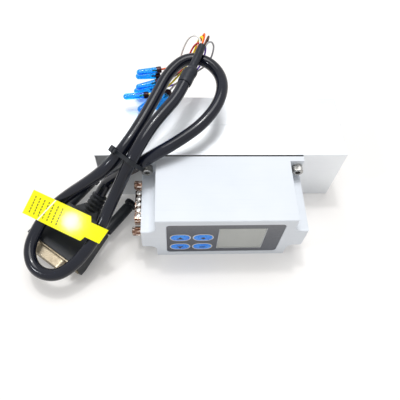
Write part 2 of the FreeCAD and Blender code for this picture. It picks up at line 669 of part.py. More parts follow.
def head_housing():
    """The display housing: a cross-shaped shell with hollow corners and a rear flange."""
    body = new_body("head_housing")
    sketch = new_sketch(body, "HousingOutline", "XZ_Plane", -front_y)
    polygon(sketch, head_outline(0, 0, 0, 0, 0))
    pad(body, sketch, size.housing_depth, True)
    inner_corners = chosen_edges(
        body, lambda a, b: along("y", a, b) and near(abs(a.x), half_main)
        and (near(a.z, ear_low) or near(a.z, ear_high)))
    dress(body, "Fillet", inner_corners, "Radius", size.cove_radius)
    rim = chosen_edges(body, lambda a, b: near(a.y, front_y) and near(b.y, front_y))
    dress(body, "Chamfer", rim, "Size", size.edge_chamfer)

    sketch = new_sketch(body, "FlangeOutline", "XZ_Plane", -flange_y)
    rectangle(sketch, -half_head, half_head, 0, size.body_height)
    pad(body, sketch, size.flange_thickness, True)

    sketch = new_sketch(body, "Cavity", "XZ_Plane", -gasket_y)
    polygon(sketch, head_outline(size.housing_wall, size.connector_wall, size.housing_wall,
                                 size.ear_wall, size.housing_wall))
    pocket(body, sketch, size.housing_depth + size.flange_thickness - size.front_wall, True)

    sketch = new_sketch(body, "BoardBosses", "XZ_Plane", -inner_front_y)
    for x, z in display_boss_places():
        circle(sketch, x, z, size.boss_diameter / 2)
    pad(body, sketch, size.display_board_setback, True)
    sketch = new_sketch(body, "BossThreads", "XZ_Plane", -display_board_y)
    for x, z in display_boss_places():
        circle(sketch, x, z, size.small_screw_diameter / 2)
    pocket(body, sketch, size.small_screw_length - size.board_thickness + 0.5, True)

    half_wide = size.overlay_width / 2 + size.recess_gap
    half_high = size.overlay_height / 2 + size.recess_gap
    sketch = new_sketch(body, "FilmRecess", "XZ_Plane", -front_y)
    rectangle(sketch, -half_wide, half_wide, mid_z - half_high, mid_z + half_high)
    pocket(body, sketch, size.recess_depth)
    recess_corners = chosen_edges(
        body, lambda a, b: along("y", a, b) and near(abs(a.x), half_wide)
        and (near(a.z, mid_z - half_high) or near(a.z, mid_z + half_high)))
    dress(body, "Fillet", recess_corners, "Radius", size.overlay_radius)

    sketch = new_sketch(body, "DisplayOpening", "XZ_Plane", -front_y)
    half_wide, half_high = size.window_width / 2 - 0.5, size.window_height / 2 - 0.5
    rectangle(sketch, size.window_x - half_wide, size.window_x + half_wide,
              mid_z + size.window_z - half_high, mid_z + size.window_z + half_high)
    pocket(body, sketch, size.front_wall)
    sketch = new_sketch(body, "KeyOpenings", "XZ_Plane", -front_y)
    for x, z in key_places():
        circle(sketch, x, z, size.key_hole_diameter / 2)
    pocket(body, sketch, size.front_wall)

    sketch = new_sketch(body, "ConnectorOpening", "YZ_Plane", -half_head)
    polygon(sketch, d_outline(size.shell_width + 2 * size.shell_gap,
                              size.shell_height + 2 * size.shell_gap, connector_y, mid_z))
    for sign in (-1, 1):
        circle(sketch, connector_y + sign * size.connector_pitch / 2, mid_z,
               size.jack_thread / 2 + size.fit_gap)
    pocket(body, sketch, size.connector_wall, True)

    sketch = new_sketch(body, "ScrewHoles", "XZ_Plane", -gasket_y)
    for x, z in corners_of(size.flange_screw_x, size.flange_screw_z):
        circle(sketch, x, mid_z + z, size.screw_clearance / 2)
    pocket(body, sketch, size.flange_thickness, True)
    keep(body, "head_housing")


def display_boss_places():
    across = half_board_width - size.boss_inset
    up = half_board_height - size.boss_inset
    return [(x, mid_z + z) for x, z in corners_of(across, up)]


def key_places():
    """Centres of the four keys, as X and Z."""
    return [(size.key_x + x, mid_z + size.key_z + z)
            for x, z in corners_of(size.key_pitch_x / 2, size.key_pitch_z / 2)]


def stadium(length, height, thickness, x, y, z):
    """An oval plate that faces -Y: a block between two half rounds."""
    radius = height / 2
    half = length / 2 - radius
    middle = box((x - half, y, z - radius), (x + half, y + thickness, z + radius))
    ends = [rod(radius, thickness, x + sign * half, y, z, "y") for sign in (-1, 1)]
    return fuse([middle] + ends)


def front_panel():
    """The front film with its window, the embossed keys and the clear pane."""
    film_y = front_y + size.recess_depth - size.overlay_thickness
    half_wide, half_high = size.overlay_width / 2, size.overlay_height / 2
    body = new_body("front_overlay")
    sketch = new_sketch(body, "FilmOutline", "XZ_Plane", -film_y)
    rectangle(sketch, -half_wide, half_wide, mid_z - half_high, mid_z + half_high)
    pad(body, sketch, size.overlay_thickness, True)
    dress(body, "Fillet", chosen_edges(body, lambda a, b: along("y", a, b)), "Radius",
          size.overlay_radius)
    left, right = size.window_x - size.window_width / 2, size.window_x + size.window_width / 2
    low = mid_z + size.window_z - size.window_height / 2
    high = mid_z + size.window_z + size.window_height / 2
    sketch = new_sketch(body, "FilmWindow", "XZ_Plane", -film_y)
    rectangle(sketch, left, right, low, high)
    pocket(body, sketch, size.overlay_thickness)
    keep(body, "front_overlay")
    keep(box((left, film_y, low), (right, film_y + size.overlay_thickness, high)),
         "display_window")
    keys = []
    for x, z in key_places():
        keys.append(stadium(size.key_length, size.key_height, size.key_raise, x,
                            film_y - size.key_raise, z))
    keep(group(keys), "key_pads")


def display_unit():
    """The display behind its window, with its board, key switches and screws."""
    seat_y = inner_front_y + 0.3
    x, z = size.window_x, mid_z + size.window_z
    half_wide, half_high = size.window_width / 2 + 1.2, size.window_height / 2 + 1.2
    glass_depth, light_depth = 1.4, 2.0
    frame_wall = 1.0
    inner = ((x - half_wide, seat_y, z - half_high),
             (x + half_wide, seat_y + glass_depth, z + half_high))
    glass = box(*inner)
    keep(glass, "display_glass")
    light_y = seat_y + glass_depth
    keep(box((x - half_wide, light_y, z - half_high),
             (x + half_wide, light_y + light_depth, z + half_high)), "display_backlight")
    outside = box((x - half_wide - frame_wall, seat_y, z - half_high - frame_wall),
                  (x + half_wide + frame_wall, display_board_y, z + half_high + frame_wall))
    inside = box((x - half_wide, seat_y, z - half_high),
                 (x + half_wide, light_y + light_depth, z + half_high))
    keep(cut(outside, [inside]), "display_frame")

    board = box((-half_board_width, display_board_y, mid_z - half_board_height),
                (half_board_width, display_board_y + size.board_thickness,
                 mid_z + half_board_height))
    holes = [rod(size.small_screw_diameter / 2 + size.fit_gap, size.board_thickness, bx,
                 display_board_y, bz, "y") for bx, bz in display_boss_places()]
    keep(cut(board, holes), "display_board")
    screws = [socket_screw(size.small_screw_diameter - 2 * size.fit_gap,
                           size.small_screw_length, size.small_head_diameter,
                           size.small_head_height, 1.5, bx,
                           display_board_y + size.board_thickness, bz, "-y")
              for bx, bz in display_boss_places()]
    keep(group(screws), "display_screws")

    switches = []
    film_back = front_y + size.recess_depth
    for kx, kz in key_places():
        body_front = inner_front_y + 1.5
        case = box((kx - 3, body_front, kz - 3), (kx + 3, display_board_y, kz + 3))
        plunger = rod(size.plunger_diameter / 2, body_front - film_back, kx, film_back, kz, "y")
        switches.append(fuse([case, plunger]))
    keep(group(switches), "key_switches")


def main_board_unit():
    """The main board on its pillars, with what is soldered to it."""
    low_z, top_z = main_board_z, main_top_z
    back = main_board_y + size.main_board_depth
    left, right = -size.main_board_left, size.main_board_right
    places = [(left + 4, main_board_y + 3.5), (right - 4, main_board_y + 3.5),
              (left + 4, back - 3.5), (right - 4, back - 3.5)]
    board = box((left, main_board_y, low_z), (right, back, top_z))
    holes = [rod(size.small_screw_diameter / 2 + size.fit_gap, size.board_thickness, x, y,
                 low_z) for x, y in places]
    keep(cut(board, holes), "main_board")
    pillars = []
    screws = []
    for x, y in places:
        pillar = hexagon(5, low_z - size.housing_wall, x, y, size.housing_wall)
        thread = rod(size.small_screw_diameter / 2, size.small_screw_length, x, y,
                     low_z - size.small_screw_length)
        pillars.append(cut(pillar, [thread]))
        cap_z = top_z
        cap = rod(size.small_head_diameter / 2, size.small_head_height, x, y, cap_z)
        shank = rod(size.small_screw_diameter / 2 - size.fit_gap,
                    size.small_screw_length, x, y, cap_z - size.small_screw_length)
        key = hexagon(1.5, size.small_head_height / 2, x, y,
                      cap_z + size.small_head_height / 2)
        screws.append(cut(fuse([cap, shank]), [key]))
    keep(group(pillars), "board_pillars")
    keep(group(screws), "board_screws")

    mid_y = main_board_y + size.main_board_depth / 2
    keep(box((-6, mid_y - 6, top_z), (6, mid_y + 6, top_z + 1.4)), "processor_chip")
    cans = [rod(3.15, 7.5, x, mid_y + dy, top_z) for x, dy in ((18, -5), (26, -5), (18, 4))]
    keep(group(cans), "capacitors")
    regulator = fuse([box((24, mid_y + 2, top_z), (31, mid_y + 8, top_z + 2.4)),
                      box((24.5, mid_y + 8, top_z), (30.5, mid_y + 9.5, top_z + 1))])
    keep(regulator, "voltage_regulator")
    strip_y = main_board_y
    strip = box((-12, strip_y, top_z), (12, strip_y + 2.5, top_z + 2.5))
    pins = [box((x - 0.3, display_board_y + size.board_thickness, top_z + 1),
                (x + 0.3, strip_y, top_z + 1.6)) for x in
            [2.54 * (step - 4) for step in range(9)]]
    keep(fuse([strip] + pins), "board_link")


def connector():
    """The fifteen-way connector in the left ear, with its two jack screws."""
    flange_x = connector_face_x
    back_x = flange_x + size.connector_flange
    half_wide, half_high = size.connector_flange_width / 2, size.connector_flange_height / 2
    plate = box((flange_x, connector_y - half_wide, mid_z - half_high),
                (back_x, connector_y + half_wide, mid_z + half_high))
    tube = d_block("ShellOutside", size.shell_width, size.shell_height, size.shell_radius,
                   flange_x - size.shell_length, size.shell_length, connector_y, mid_z)
    inside = d_block("ShellInside", size.shell_width - 2 * size.shell_wall,
                     size.shell_height - 2 * size.shell_wall,
                     size.shell_radius - size.shell_wall,
                     flange_x - size.shell_length - 1,
                     size.shell_length + size.connector_flange + 2, connector_y, mid_z)
    holes = [rod(size.jack_thread / 2 + size.fit_gap, size.connector_flange, flange_x,
                 connector_y + sign * size.connector_pitch / 2, mid_z, "x")
             for sign in (-1, 1)]
    dents = []
    dimple_radius, dimple_depth = 1.3, 0.25
    dimple_x = flange_x - size.shell_length * 0.62
    for sign in (-1, 1):
        for step in range(5):
            ball = document.addObject("Part::Sphere", "Dimple")
            bind(ball, "Radius", dimple_radius)
            face_z = mid_z + sign * size.shell_height / 2
            dents.append(place(ball, dimple_x, connector_y + (step - 2) * 4.1,
                               face_z + sign * (dimple_radius - dimple_depth)))
    keep(cut(fuse([plate, tube]), [inside] + holes + dents), "connector_shell")

    core_front = flange_x - 0.5
    core = d_block("Insulator", size.shell_width - 2 * size.shell_wall - 2 * size.fit_gap,
                   size.shell_height - 2 * size.shell_wall - 2 * size.fit_gap,
                   size.shell_radius - size.shell_wall, core_front,
                   back_x - core_front, connector_y, mid_z)
    rear_x = back_x + size.insulator_depth
    rear = box((back_x, connector_y - 12.2, mid_z - 5), (rear_x, connector_y + 12.2, mid_z + 5))
    keep(cut(fuse([core, rear]), contact_rods(core_front - 1, 10, size.pin_diameter / 2)),
         "connector_insulator")
    pin_x = flange_x - size.shell_length + 0.9
    tails = []
    for y, z in contact_places():
        end_x = rear_x + (0.6 if z.value < mid_z.value else 1.9)
        pin = rod(size.pin_diameter / 2, end_x + 0.6 - pin_x, pin_x, y, z, "x")
        tails.append(fuse([pin, box((end_x, y - 0.3, main_top_z), (end_x + 0.6, y + 0.3, z))]))
    keep(group(tails), "connector_pins")

    screws, nuts = [], []
    for sign in (-1, 1):
        y = connector_y + sign * size.connector_pitch / 2
        post = hexagon(size.jack_across, size.jack_length, -half_head, y, mid_z, "-x")
        thread = rod(size.jack_thread / 2, size.connector_wall + size.connector_flange
                     + size.jack_nut_height + 1, -half_head, y, mid_z, "x")
        hole = rod(size.jack_thread / 2, size.jack_length - 1, -half_head - size.jack_length,
                   y, mid_z, "x")
        screws.append(cut(fuse([post, thread]), [hole]))
        nut = hexagon(size.jack_nut_across, size.jack_nut_height, back_x, y, mid_z, "x")
        bore = rod(size.jack_thread / 2 + size.fit_gap, size.jack_nut_height, back_x, y,
                   mid_z, "x")
        nuts.append(cut(nut, [bore]))
    keep(group(screws), "jack_screws")
    keep(group(nuts), "jack_nuts")


def contact_places():
    """Eight contacts in the upper row and seven in the lower, as Y and Z."""
    rows = [(8, 1), (7, -1)]
    return [(connector_y + (step - (count - 1) / 2) * size.pin_pitch,
             mid_z + sign * size.pin_row / 2)
            for count, sign in rows for step in range(count)]


def contact_rods(x, length, radius):
    return [rod(radius, length, x, y, z, "x") for y, z in contact_places()]


def housing_fasteners():
    """Four cap screws on spring washers, and the gasket that they clamp."""
    screws, washers = [], []
    for x, z in corners_of(size.flange_screw_x, size.flange_screw_z):
        seat = flange_y - size.washer_thickness
        reach = (size.washer_thickness + size.flange_thickness + size.gasket_thickness
                 + size.screw_reach)
        screws.append(socket_screw(size.screw_diameter - 2 * size.fit_gap, reach,
                                   size.screw_head_diameter, size.screw_head_height,
                                   size.screw_socket, x, seat, mid_z + z, "y"))
        washers.append(ring(size.screw_head_diameter / 2, size.screw_diameter / 2,
                            size.washer_thickness, x, seat, mid_z + z, "y"))
    keep(group(screws), "housing_screws")
    keep(group(washers), "spring_washers")

    body = new_body("head_gasket")
    sketch = new_sketch(body, "GasketOutline", "XZ_Plane", -gasket_y)
    rectangle(sketch, -half_head, half_head, 0, size.body_height)
    pad(body, sketch, size.gasket_thickness, True)
    sketch = new_sketch(body, "GasketOpening", "XZ_Plane", -gasket_y)
    polygon(sketch, head_outline(size.housing_wall, size.connector_wall, size.housing_wall,
                                 size.ear_wall, size.housing_wall))
    pocket(body, sketch, size.gasket_thickness)
    sketch = new_sketch(body, "GasketHoles", "XZ_Plane", -gasket_y)
    for x, z in corners_of(size.flange_screw_x, size.flange_screw_z):
        circle(sketch, x, mid_z + z, size.screw_clearance / 2)
    pocket(body, sketch, size.gasket_thickness)
    keep(body, "head_gasket")


def sensor_unit():
    """The thermal sensor: carrier, seal, chip, board, screws and its ribbon."""
    plate_y = block_y - size.sensor_plate
    half_wide, half_high = size.sensor_plate_width / 2, size.sensor_plate_height / 2
    plate = box((-half_wide, plate_y, mid_z - half_high), (half_wide, block_y, mid_z + half_high))
    stem_radius = size.sensor_bore / 2 - size.fit_gap
    stem_length = size.block_depth / 2 - size.bore_diameter / 2 + size.sensor_dip
    stem = rod(stem_radius, stem_length, 0, block_y, mid_z, "y")
    groove_y = block_y + 4
    groove = ring(stem_radius + 1, stem_radius - size.seal_thickness, size.seal_thickness + 0.4,
                  0, groove_y, mid_z, "y")
    chip_seat_y = block_y + stem_length - 0.6
    seat = box((-size.chip_size / 2, chip_seat_y, mid_z - size.chip_size / 2),
               (size.chip_size / 2, chip_seat_y + 0.6, mid_z + size.chip_size / 2))
    holes = [rod(size.small_screw_diameter / 2 + size.fit_gap, size.sensor_plate, x, plate_y,
                 mid_z + z, "y") for x, z in corners_of(size.sensor_screw_x, size.sensor_screw_z)]
    keep(cut(fuse([plate, stem]), [groove, seat] + holes), "sensor_carrier")
    keep(box((-size.chip_size / 2, chip_seat_y, mid_z - size.chip_size / 2),
             (size.chip_size / 2, chip_seat_y + 0.4, mid_z + size.chip_size / 2)),
         "sensor_chip")
    keep(ring(size.sensor_bore / 2, stem_radius - size.seal_thickness, size.seal_thickness,
              0, groove_y + 0.2, mid_z, "y"), "sensor_seal")
    screws = [socket_screw(size.small_screw_diameter - 2 * size.fit_gap,
                           size.small_screw_length, size.small_head_diameter,
                           size.small_head_height, 1.5, x, plate_y, mid_z + z, "y")
              for x, z in corners_of(size.sensor_screw_x, size.sensor_screw_z)]
    keep(group(screws), "sensor_screws")
    board_y = plate_y - 1
    keep(box((-8, board_y, mid_z - 9), (8, plate_y, mid_z + 9)), "sensor_board")
    header_y = board_y - 4
    keep(box((-4, header_y, mid_z + 2), (4, board_y, mid_z + 7)), "sensor_header")
    keep(box((-4, header_y - 6, main_top_z), (4, header_y - 2, main_top_z + 3)),
         "ribbon_socket")
    keep(ribbon(header_y.value, (mid_z + 4.5).value, (header_y - 4).value,
                (main_top_z + 3).value), "sensor_ribbon")


def ribbon(start_y, start_z, end_y, end_z):
    """A flat flex: out of the header along -Y, round a quarter turn, down to the socket."""
    half, thick = 3.0, 0.2
    radius = start_y - end_y
    turn_z = start_z - radius
    corner = math.sqrt(0.5)
    start, bend_end = Vector(0, start_y, start_z), Vector(0, end_y, turn_z)
    middle = Vector(0, start_y - radius * corner, turn_z + radius * corner)
    path = Part.Wire([Part.Arc(start, middle, bend_end).toShape(),
                      Part.LineSegment(bend_end, Vector(0, end_y, end_z)).toShape()])
    outline = [Vector(x, start_y, start_z + z) for x, z in
               ((-half, -thick), (half, -thick), (half, thick), (-half, thick))]
    profile = Part.makePolygon(outline + outline[:1])
    thing = document.addObject("Part::Feature", "Ribbon")
    thing.Shape = path.makePipeShell([profile], True, False)
    return thing


def rounded_path(points):
    """Straight runs joined by tangent arcs, each as large as its two runs allow."""
    corners = [Vector(*point) for point in points]
    edges, radii = [], []
    start = corners[0]
    for before, corner, after in zip(corners, corners[1:], corners[2:]):
        inward = (before - corner).normalize()
        outward = (after - corner).normalize()
        half_turn = (math.pi - inward.getAngle(outward)) / 2
        shorter = min((before - corner).Length, (after - corner).Length)
        reach = 0.45 * shorter
        radius = reach / math.tan(half_turn)
        first, last = corner + inward * reach, corner + outward * reach
        bisector = (inward + outward).normalize()
        centre = corner + bisector * (radius / math.cos(half_turn))
        middle = centre - bisector * radius
        edges.append(Part.LineSegment(start, first).toShape())
        edges.append(Part.Arc(first, middle, last).toShape())
        radii.append(radius)
        start = last
    edges.append(Part.LineSegment(start, corners[-1]).toShape())
    return Part.Wire(edges), radii


def tube(label, points, diameter):
    """A round cord along a route, as its own sub-part."""
    path, radii = rounded_path(points)
    direction = Vector(*points[1]) - Vector(*points[0])
    section = Part.Wire(Part.makeCircle(diameter / 2, Vector(*points[0]), direction))
    thing = document.addObject("Part::Feature", "Cord")
    thing.Shape = path.makePipeShell([section], True, False)
    expected = math.pi * diameter ** 2 / 4 * path.Length
    print(f"{label}: length {path.Length:.1f}, volume {thing.Shape.Volume / expected:.4f} "
          f"of its section times length, radii "
          + " ".join(f"{radius:.1f}" for radius in radii))
    return keep(thing, label)


def lead_place(u, v, z):
    """A point of the lead connector's own frame: u back from its front, v to its left."""
    angle = math.radians(LEAD_ANGLE)
    return Vector(size.lead_x.value + u * math.cos(angle) - v * math.sin(angle),
                  size.lead_y.value + u * math.sin(angle) + v * math.cos(angle), z)


def put_in_lead(thing, label):
    """Turns a piece from the connector's own frame to where the connector lies."""
    thing.Placement = Placement(lead_place(0, 0, 0), Rotation(Vector(0, 0, 1), LEAD_ANGLE))
    bind(thing, "Placement.Base.x", size.lead_x)
    bind(thing, "Placement.Base.y", size.lead_y)
    return keep(thing, label)


def relief_mouth():
    """Middle of the strain relief's end face, and the direction that it points in."""
    tilt = math.radians(RELIEF_TILT)
    reach = size.relief_length.value
    root = (size.hood_length + size.hood_neck_length - size.relief_overlap).value
    mouth = lead_place(root + reach * math.cos(tilt), 0,
                       size.hood_height.value / 2 + reach * math.sin(tilt))
    start = lead_place(root, 0, size.hood_height.value / 2)
    return mouth, (mouth - start).normalize()


def whole_route():
    """The lead's route with its first two points straight out of the strain relief."""
    mouth, direction = relief_mouth()
    return [tuple(mouth), tuple(mouth + direction * 8)] + CABLE_ROUTE


def lead_hood():
    """The moulded hood with its ribbed strain relief and the two screw channels."""
    front, rear, neck = size.hood_width / 2, size.hood_rear_width / 2, size.hood_neck_width / 2
    length, end = size.hood_length, size.hood_length + size.hood_neck_length
    shoulder = size.connector_pitch / 2 - size.thumb_rim_diameter / 2 - size.shoulder_gap
    step = as_length(4)
    body = new_body("HoodMoulding")
    sketch = new_sketch(body, "HoodOutline", "XY_Plane", 0)
    polygon(sketch, [(0, -front), (step, -front), (length, -rear), (length, -shoulder),
                     (end, -neck), (end, neck), (length, shoulder), (length, rear),
                     (step, front), (0, front)])
    pad(body, sketch, size.hood_height)
    upper = chosen_edges(body, lambda a, b: near(a.z, size.hood_height)
                         and near(b.z, size.hood_height) and (a.x + b.x) > 0.1)
    dress(body, "Chamfer", upper, "Size", size.hood_round)

    relief = new_body("Relief")
    sketch = new_sketch(relief, "ReliefProfile", "XY_Plane", 0)
    polygon(sketch, relief_profile())
    turned = relief.newObject("PartDesign::Revolution", "Turned")
    turned.Profile = sketch
    turned.ReferenceAxis = (sketch, ["H_Axis"])
    turned.Angle = 360
    document.recompute()
    relief_start = Vector((end - size.relief_overlap).value, 0, (size.hood_height / 2).value)
    relief.Placement = Placement(relief_start, Rotation(Vector(0, 1, 0), -RELIEF_TILT))
    bind(relief, "Placement.Base.x", end - size.relief_overlap)
    bind(relief, "Placement.Base.z", size.hood_height / 2)
    channels = [rod(size.jack_thread / 2 + 2 * size.fit_gap, size.hood_length + 10, -1,
                    sign * size.connector_pitch / 2, size.hood_height / 2, "x")
                for sign in (-1, 1)]
    moulding = cut(fuse([body, relief]), channels)
    put_in_lead(moulding, "lead_hood")


def relief_profile():
    """Half section of the relief along X: a taper with four square grooves."""
    root, tip, depth = size.relief_root, size.relief_tip, size.relief_groove
    length = size.relief_length
    pitch, gap, first = length / 5, length / 12, length * 0.24
    corners = [(0, 0), (length, 0), (length, tip)]
    for groove in reversed(range(4)):
        start = first + pitch * groove * 0.95
        stop = start + gap
        outer_stop = root + (tip - root) * (stop / length)
        outer_start = root + (tip - root) * (start / length)
        corners += [(stop, outer_stop), (stop, outer_stop - depth),
                    (start, outer_start - depth), (start, outer_start)]
    corners.append((0, root))
    return corners


def lead_connector():
    """Shell, contact carrier and thumbscrews of the lead's connector."""
    y, z = as_length(0), size.hood_height / 2
    half_wide, half_high = size.connector_flange_width / 2, size.connector_flange_height / 2
    plate = box((-size.connector_flange, -half_wide, z - half_high), (0, half_wide, z + half_high))
    outside = d_block("SocketOutside", size.socket_width, size.socket_height,
                      size.shell_radius, -size.connector_flange - size.socket_length,
                      size.socket_length, y, z)
    inside = d_block("SocketInside", size.socket_width - 2 * size.shell_wall,
                     size.socket_height - 2 * size.shell_wall,
                     size.shell_radius - size.shell_wall,
                     -size.connector_flange - size.socket_length - 1,
                     size.socket_length + size.connector_flange + 2, y, z)
    holes = [rod(size.jack_thread / 2 + 2 * size.fit_gap, size.connector_flange,
                 -size.connector_flange, sign * size.connector_pitch / 2, z, "x")
             for sign in (-1, 1)]
    put_in_lead(cut(fuse([plate, outside]), [inside] + holes), "lead_connector_shell")

    carrier = d_block("Carrier", size.socket_width - 2 * size.shell_wall - 2 * size.fit_gap,
                      size.socket_height - 2 * size.shell_wall - 2 * size.fit_gap,
                      size.shell_radius - size.shell_wall,
                      -size.connector_flange - size.socket_length + 0.2,
                      size.socket_length + size.connector_flange - 0.2, y, z)
    contacts = []
    for count, sign in ((8, 1), (7, -1)):
        for step in range(count):
            contacts.append(rod(size.pin_diameter / 2 + size.fit_gap, 5,
                                -size.connector_flange - size.socket_length,
                                (step - (count - 1) / 2) * size.pin_pitch,
                                z + sign * size.pin_row / 2, "x"))
    put_in_lead(cut(carrier, contacts), "lead_contact_carrier")

    screws = [thumbscrew(sign * size.connector_pitch / 2, z) for sign in (-1, 1)]
    put_in_lead(group(screws), "lead_thumbscrews")


def thumbscrew(y, z):
    """A long smooth knob with a knurled rim, on a thread through the hood."""
    start = size.hood_length + size.fit_gap
    rim_start = start + size.thumb_length - size.thumb_rim_length
    barrel = rod(size.thumb_diameter / 2, size.thumb_length, start, y, z, "x")
    rim = rod(size.thumb_rim_diameter / 2, size.thumb_rim_length, rim_start, y, z, "x")
    flutes = []
    for step in range(KNOB_FLUTES):
        angle = 2 * math.pi * step / KNOB_FLUTES
        flutes.append(rod(size.thumb_flute, size.thumb_rim_length, rim_start,
                          y + size.thumb_rim_diameter / 2 * math.cos(angle),
                          z + size.thumb_rim_diameter / 2 * math.sin(angle), "x"))
    shank = rod(size.jack_thread / 2, start + size.thumb_reach, -size.thumb_reach, y, z, "x")
    return fuse([barrel, cut(rim, flutes), shank])


def sleeves():
    """Two shrink sleeves in line over the cable's end."""
    end = Vector(*CABLE_ROUTE[-1])
    axis = (end - Vector(*CABLE_ROUTE[-2])).normalize()
    start = end - axis * size.sleeve_overlap.value
    turn = Rotation(Vector(0, 0, 1), axis)

    def piece(radius, bore_steps, origin, length):
        outside = document.addObject("Part::Cylinder", "Sleeve")
        bind(outside, "Radius", radius)
        bind(outside, "Height", length)
        outside.Placement = Placement(origin, turn)
        bores = []
        for bore, first, reach in bore_steps:
            inside = document.addObject("Part::Cylinder", "SleeveBore")
            bind(inside, "Radius", bore)
            bind(inside, "Height", reach)
            inside.Placement = Placement(origin + axis * first, turn)
            bores.append(inside)
        return cut(outside, bores)

    small_start = end + axis * 1.0
    inner_reach = size.sleeve_length - size.sleeve_overlap - 1
    large = piece(size.sleeve_diameter / 2,
                  [(size.cable_diameter / 2, 0.0, size.sleeve_overlap),
                   (size.small_sleeve_diameter / 2, size.sleeve_overlap.value,
                    size.sleeve_length - size.sleeve_overlap)],
                  start, size.sleeve_length)
    keep(large, "large_sleeve")
    small = piece(size.small_sleeve_diameter / 2,
                  [(size.small_sleeve_bore / 2, 0.0, inner_reach + size.small_sleeve_length)],
                  small_start, inner_reach + size.small_sleeve_length)
    keep(small, "small_sleeve")
    return end, axis, small_start + axis * (inner_reach + size.small_sleeve_length).value


def core_places(axis):
    """Offsets of the cores in the sleeve: six round one, the first of them on top."""
    side = axis.cross(Vector(0, 0, 1)).normalize()
    up = side.cross(axis).normalize()
    spread = size.wire_diameter.value * 1.14
    offsets = []
    for step in range(len(CORES) - 1):
        angle = 2 * math.pi * step / (len(CORES) - 1) + math.pi / 2
        offsets.append((side * math.cos(angle) + up * math.sin(angle)) * spread)
    return offsets + [Vector(0, 0, 0)]


def cores_and_caps(end, axis, mouth):
    """The cores, folded back from the sleeve's mouth, each in its end cap."""
    caps = []
    for (colour, fold, open_end, tip), offset in zip(CORES, core_places(axis)):
        open_end, tip = Vector(*open_end), Vector(*tip)
        into = (tip - open_end).normalize()
        approach = open_end - into * 7
        inner = open_end + into * (size.cap_depth.value - 0.1)
        inside = end + (mouth - end) * 0.5 + offset
        points = [end + offset, inside + Vector(0, 0, 0.02), mouth + offset + axis * 1.8]
        points += [Vector(*point) for point in fold]
        points += [approach, inner]
        tube(f"core_{colour}", [tuple(point) for point in points], size.wire_diameter.value)
        caps.append(end_cap(open_end, into))
    keep(group(caps), "core_caps")


def end_cap(open_end, into):
    """A round-nosed cap with a thicker rim, bored for its core."""
    turn = Rotation(Vector(0, 0, 1), into)
    radius = size.cap_diameter / 2
    barrel_length = size.cap_length - radius

    def solid(kind, name, origin, values):
        thing = document.addObject(kind, name)
        for key, amount in values.items():
            bind(thing, key, amount)
        thing.Placement = Placement(origin, turn)
        return thing

    barrel = solid("Part::Cylinder", "CapBarrel", open_end,
                   {"Radius": radius, "Height": barrel_length})
    nose = solid("Part::Sphere", "CapNose", open_end + into * barrel_length.value,
                 {"Radius": radius})
    bore = solid("Part::Cylinder", "CapBore", open_end,
                 {"Radius": size.wire_diameter / 2, "Height": size.cap_depth})
    return cut(fuse([barrel, nose]), [bore])


def crossings(point, normal, reach):
    """Where the lead passes through a plane near a point, and its direction there."""
    path, radii = rounded_path(whole_route())
    found = []
    samples = path.discretize(Distance=0.5)
    for before, after in zip(samples, samples[1:]):
        first, last = (before - point).dot(normal), (after - point).dot(normal)
        if first * last <= 0 and first != last:
            middle = before + (after - before) * (first / (first - last))
            if (middle - point).Length < reach:
                found.append((middle, (after - before).normalize()))
    return found


def outer_ring(points):
    """The points of a plane cloud that a tight band would touch, in order."""
    points = sorted(set(points))

    def half(run):
        chain = []
        for x, y in run:
            while len(chain) > 1:
                (ax, ay), (bx, by) = chain[-2:]
                if (bx - ax) * (y - ay) - (by - ay) * (x - ax) > 0:
                    break
                chain.pop()
            chain.append((x, y))
        return chain[:-1]

    return half(points) + half(points[::-1])


def cable_tie():
    """A flat tie round the three strands where they lie together, with its tail."""
    normal = Vector(*TIE_RUN).normalize()
    middle = Vector(*TIE_PLACE)
    across = normal.cross(Vector(0, 0, 1)).normalize()
    up = across.cross(normal).normalize()
    wall, width = size.tie_thickness.value, size.tie_width.value
    radius = size.cable_diameter.value / 2
    cloud = []
    for centre, direction in crossings(middle, normal, 16):
        lean = direction.dot(normal)
        for side in (-width / 2, width / 2):
            shifted = centre + (direction * (1 / lean) - normal) * side
            for step in range(36):
                angle = 2 * math.pi * step / 36
                spoke = across * math.cos(angle) + up * math.sin(angle)
                stretch = spoke.dot(direction)
                reach = radius / math.sqrt(1 - stretch ** 2)
                edge = shifted + spoke * reach - middle
                cloud.append((round(edge.dot(across), 3), round(edge.dot(up), 3)))
    corners = [middle + across * x + up * y for x, y in outer_ring(cloud)]
    inside = Part.Face(Part.makePolygon(corners + corners[:1]))
    gap = size.tie_gap.value
    band = inside.makeOffset2D(gap + wall).cut(inside.makeOffset2D(gap)).extrude(normal * width)
    start = max(corners, key=lambda corner: corner.dot(up) - 0.6 * corner.dot(across))
    start = start + up * (gap + wall * 0.4)
    along_tail = (up * 0.3 - across).normalize()
    thick = (up + across * 0.3).normalize()
    stop = start + along_tail * size.tie_tail.value
    outline = [start, stop, stop + thick * wall, start + thick * wall]
    tail = Part.Face(Part.makePolygon(outline + outline[:1])).extrude(normal * width)
    thing = document.addObject("Part::Feature", "Tie")
    shape = band.fuse(tail).removeSplitter()
    shape.translate(normal * (-width / 2))
    thing.Shape = shape
    keep(thing, "cable_tie")


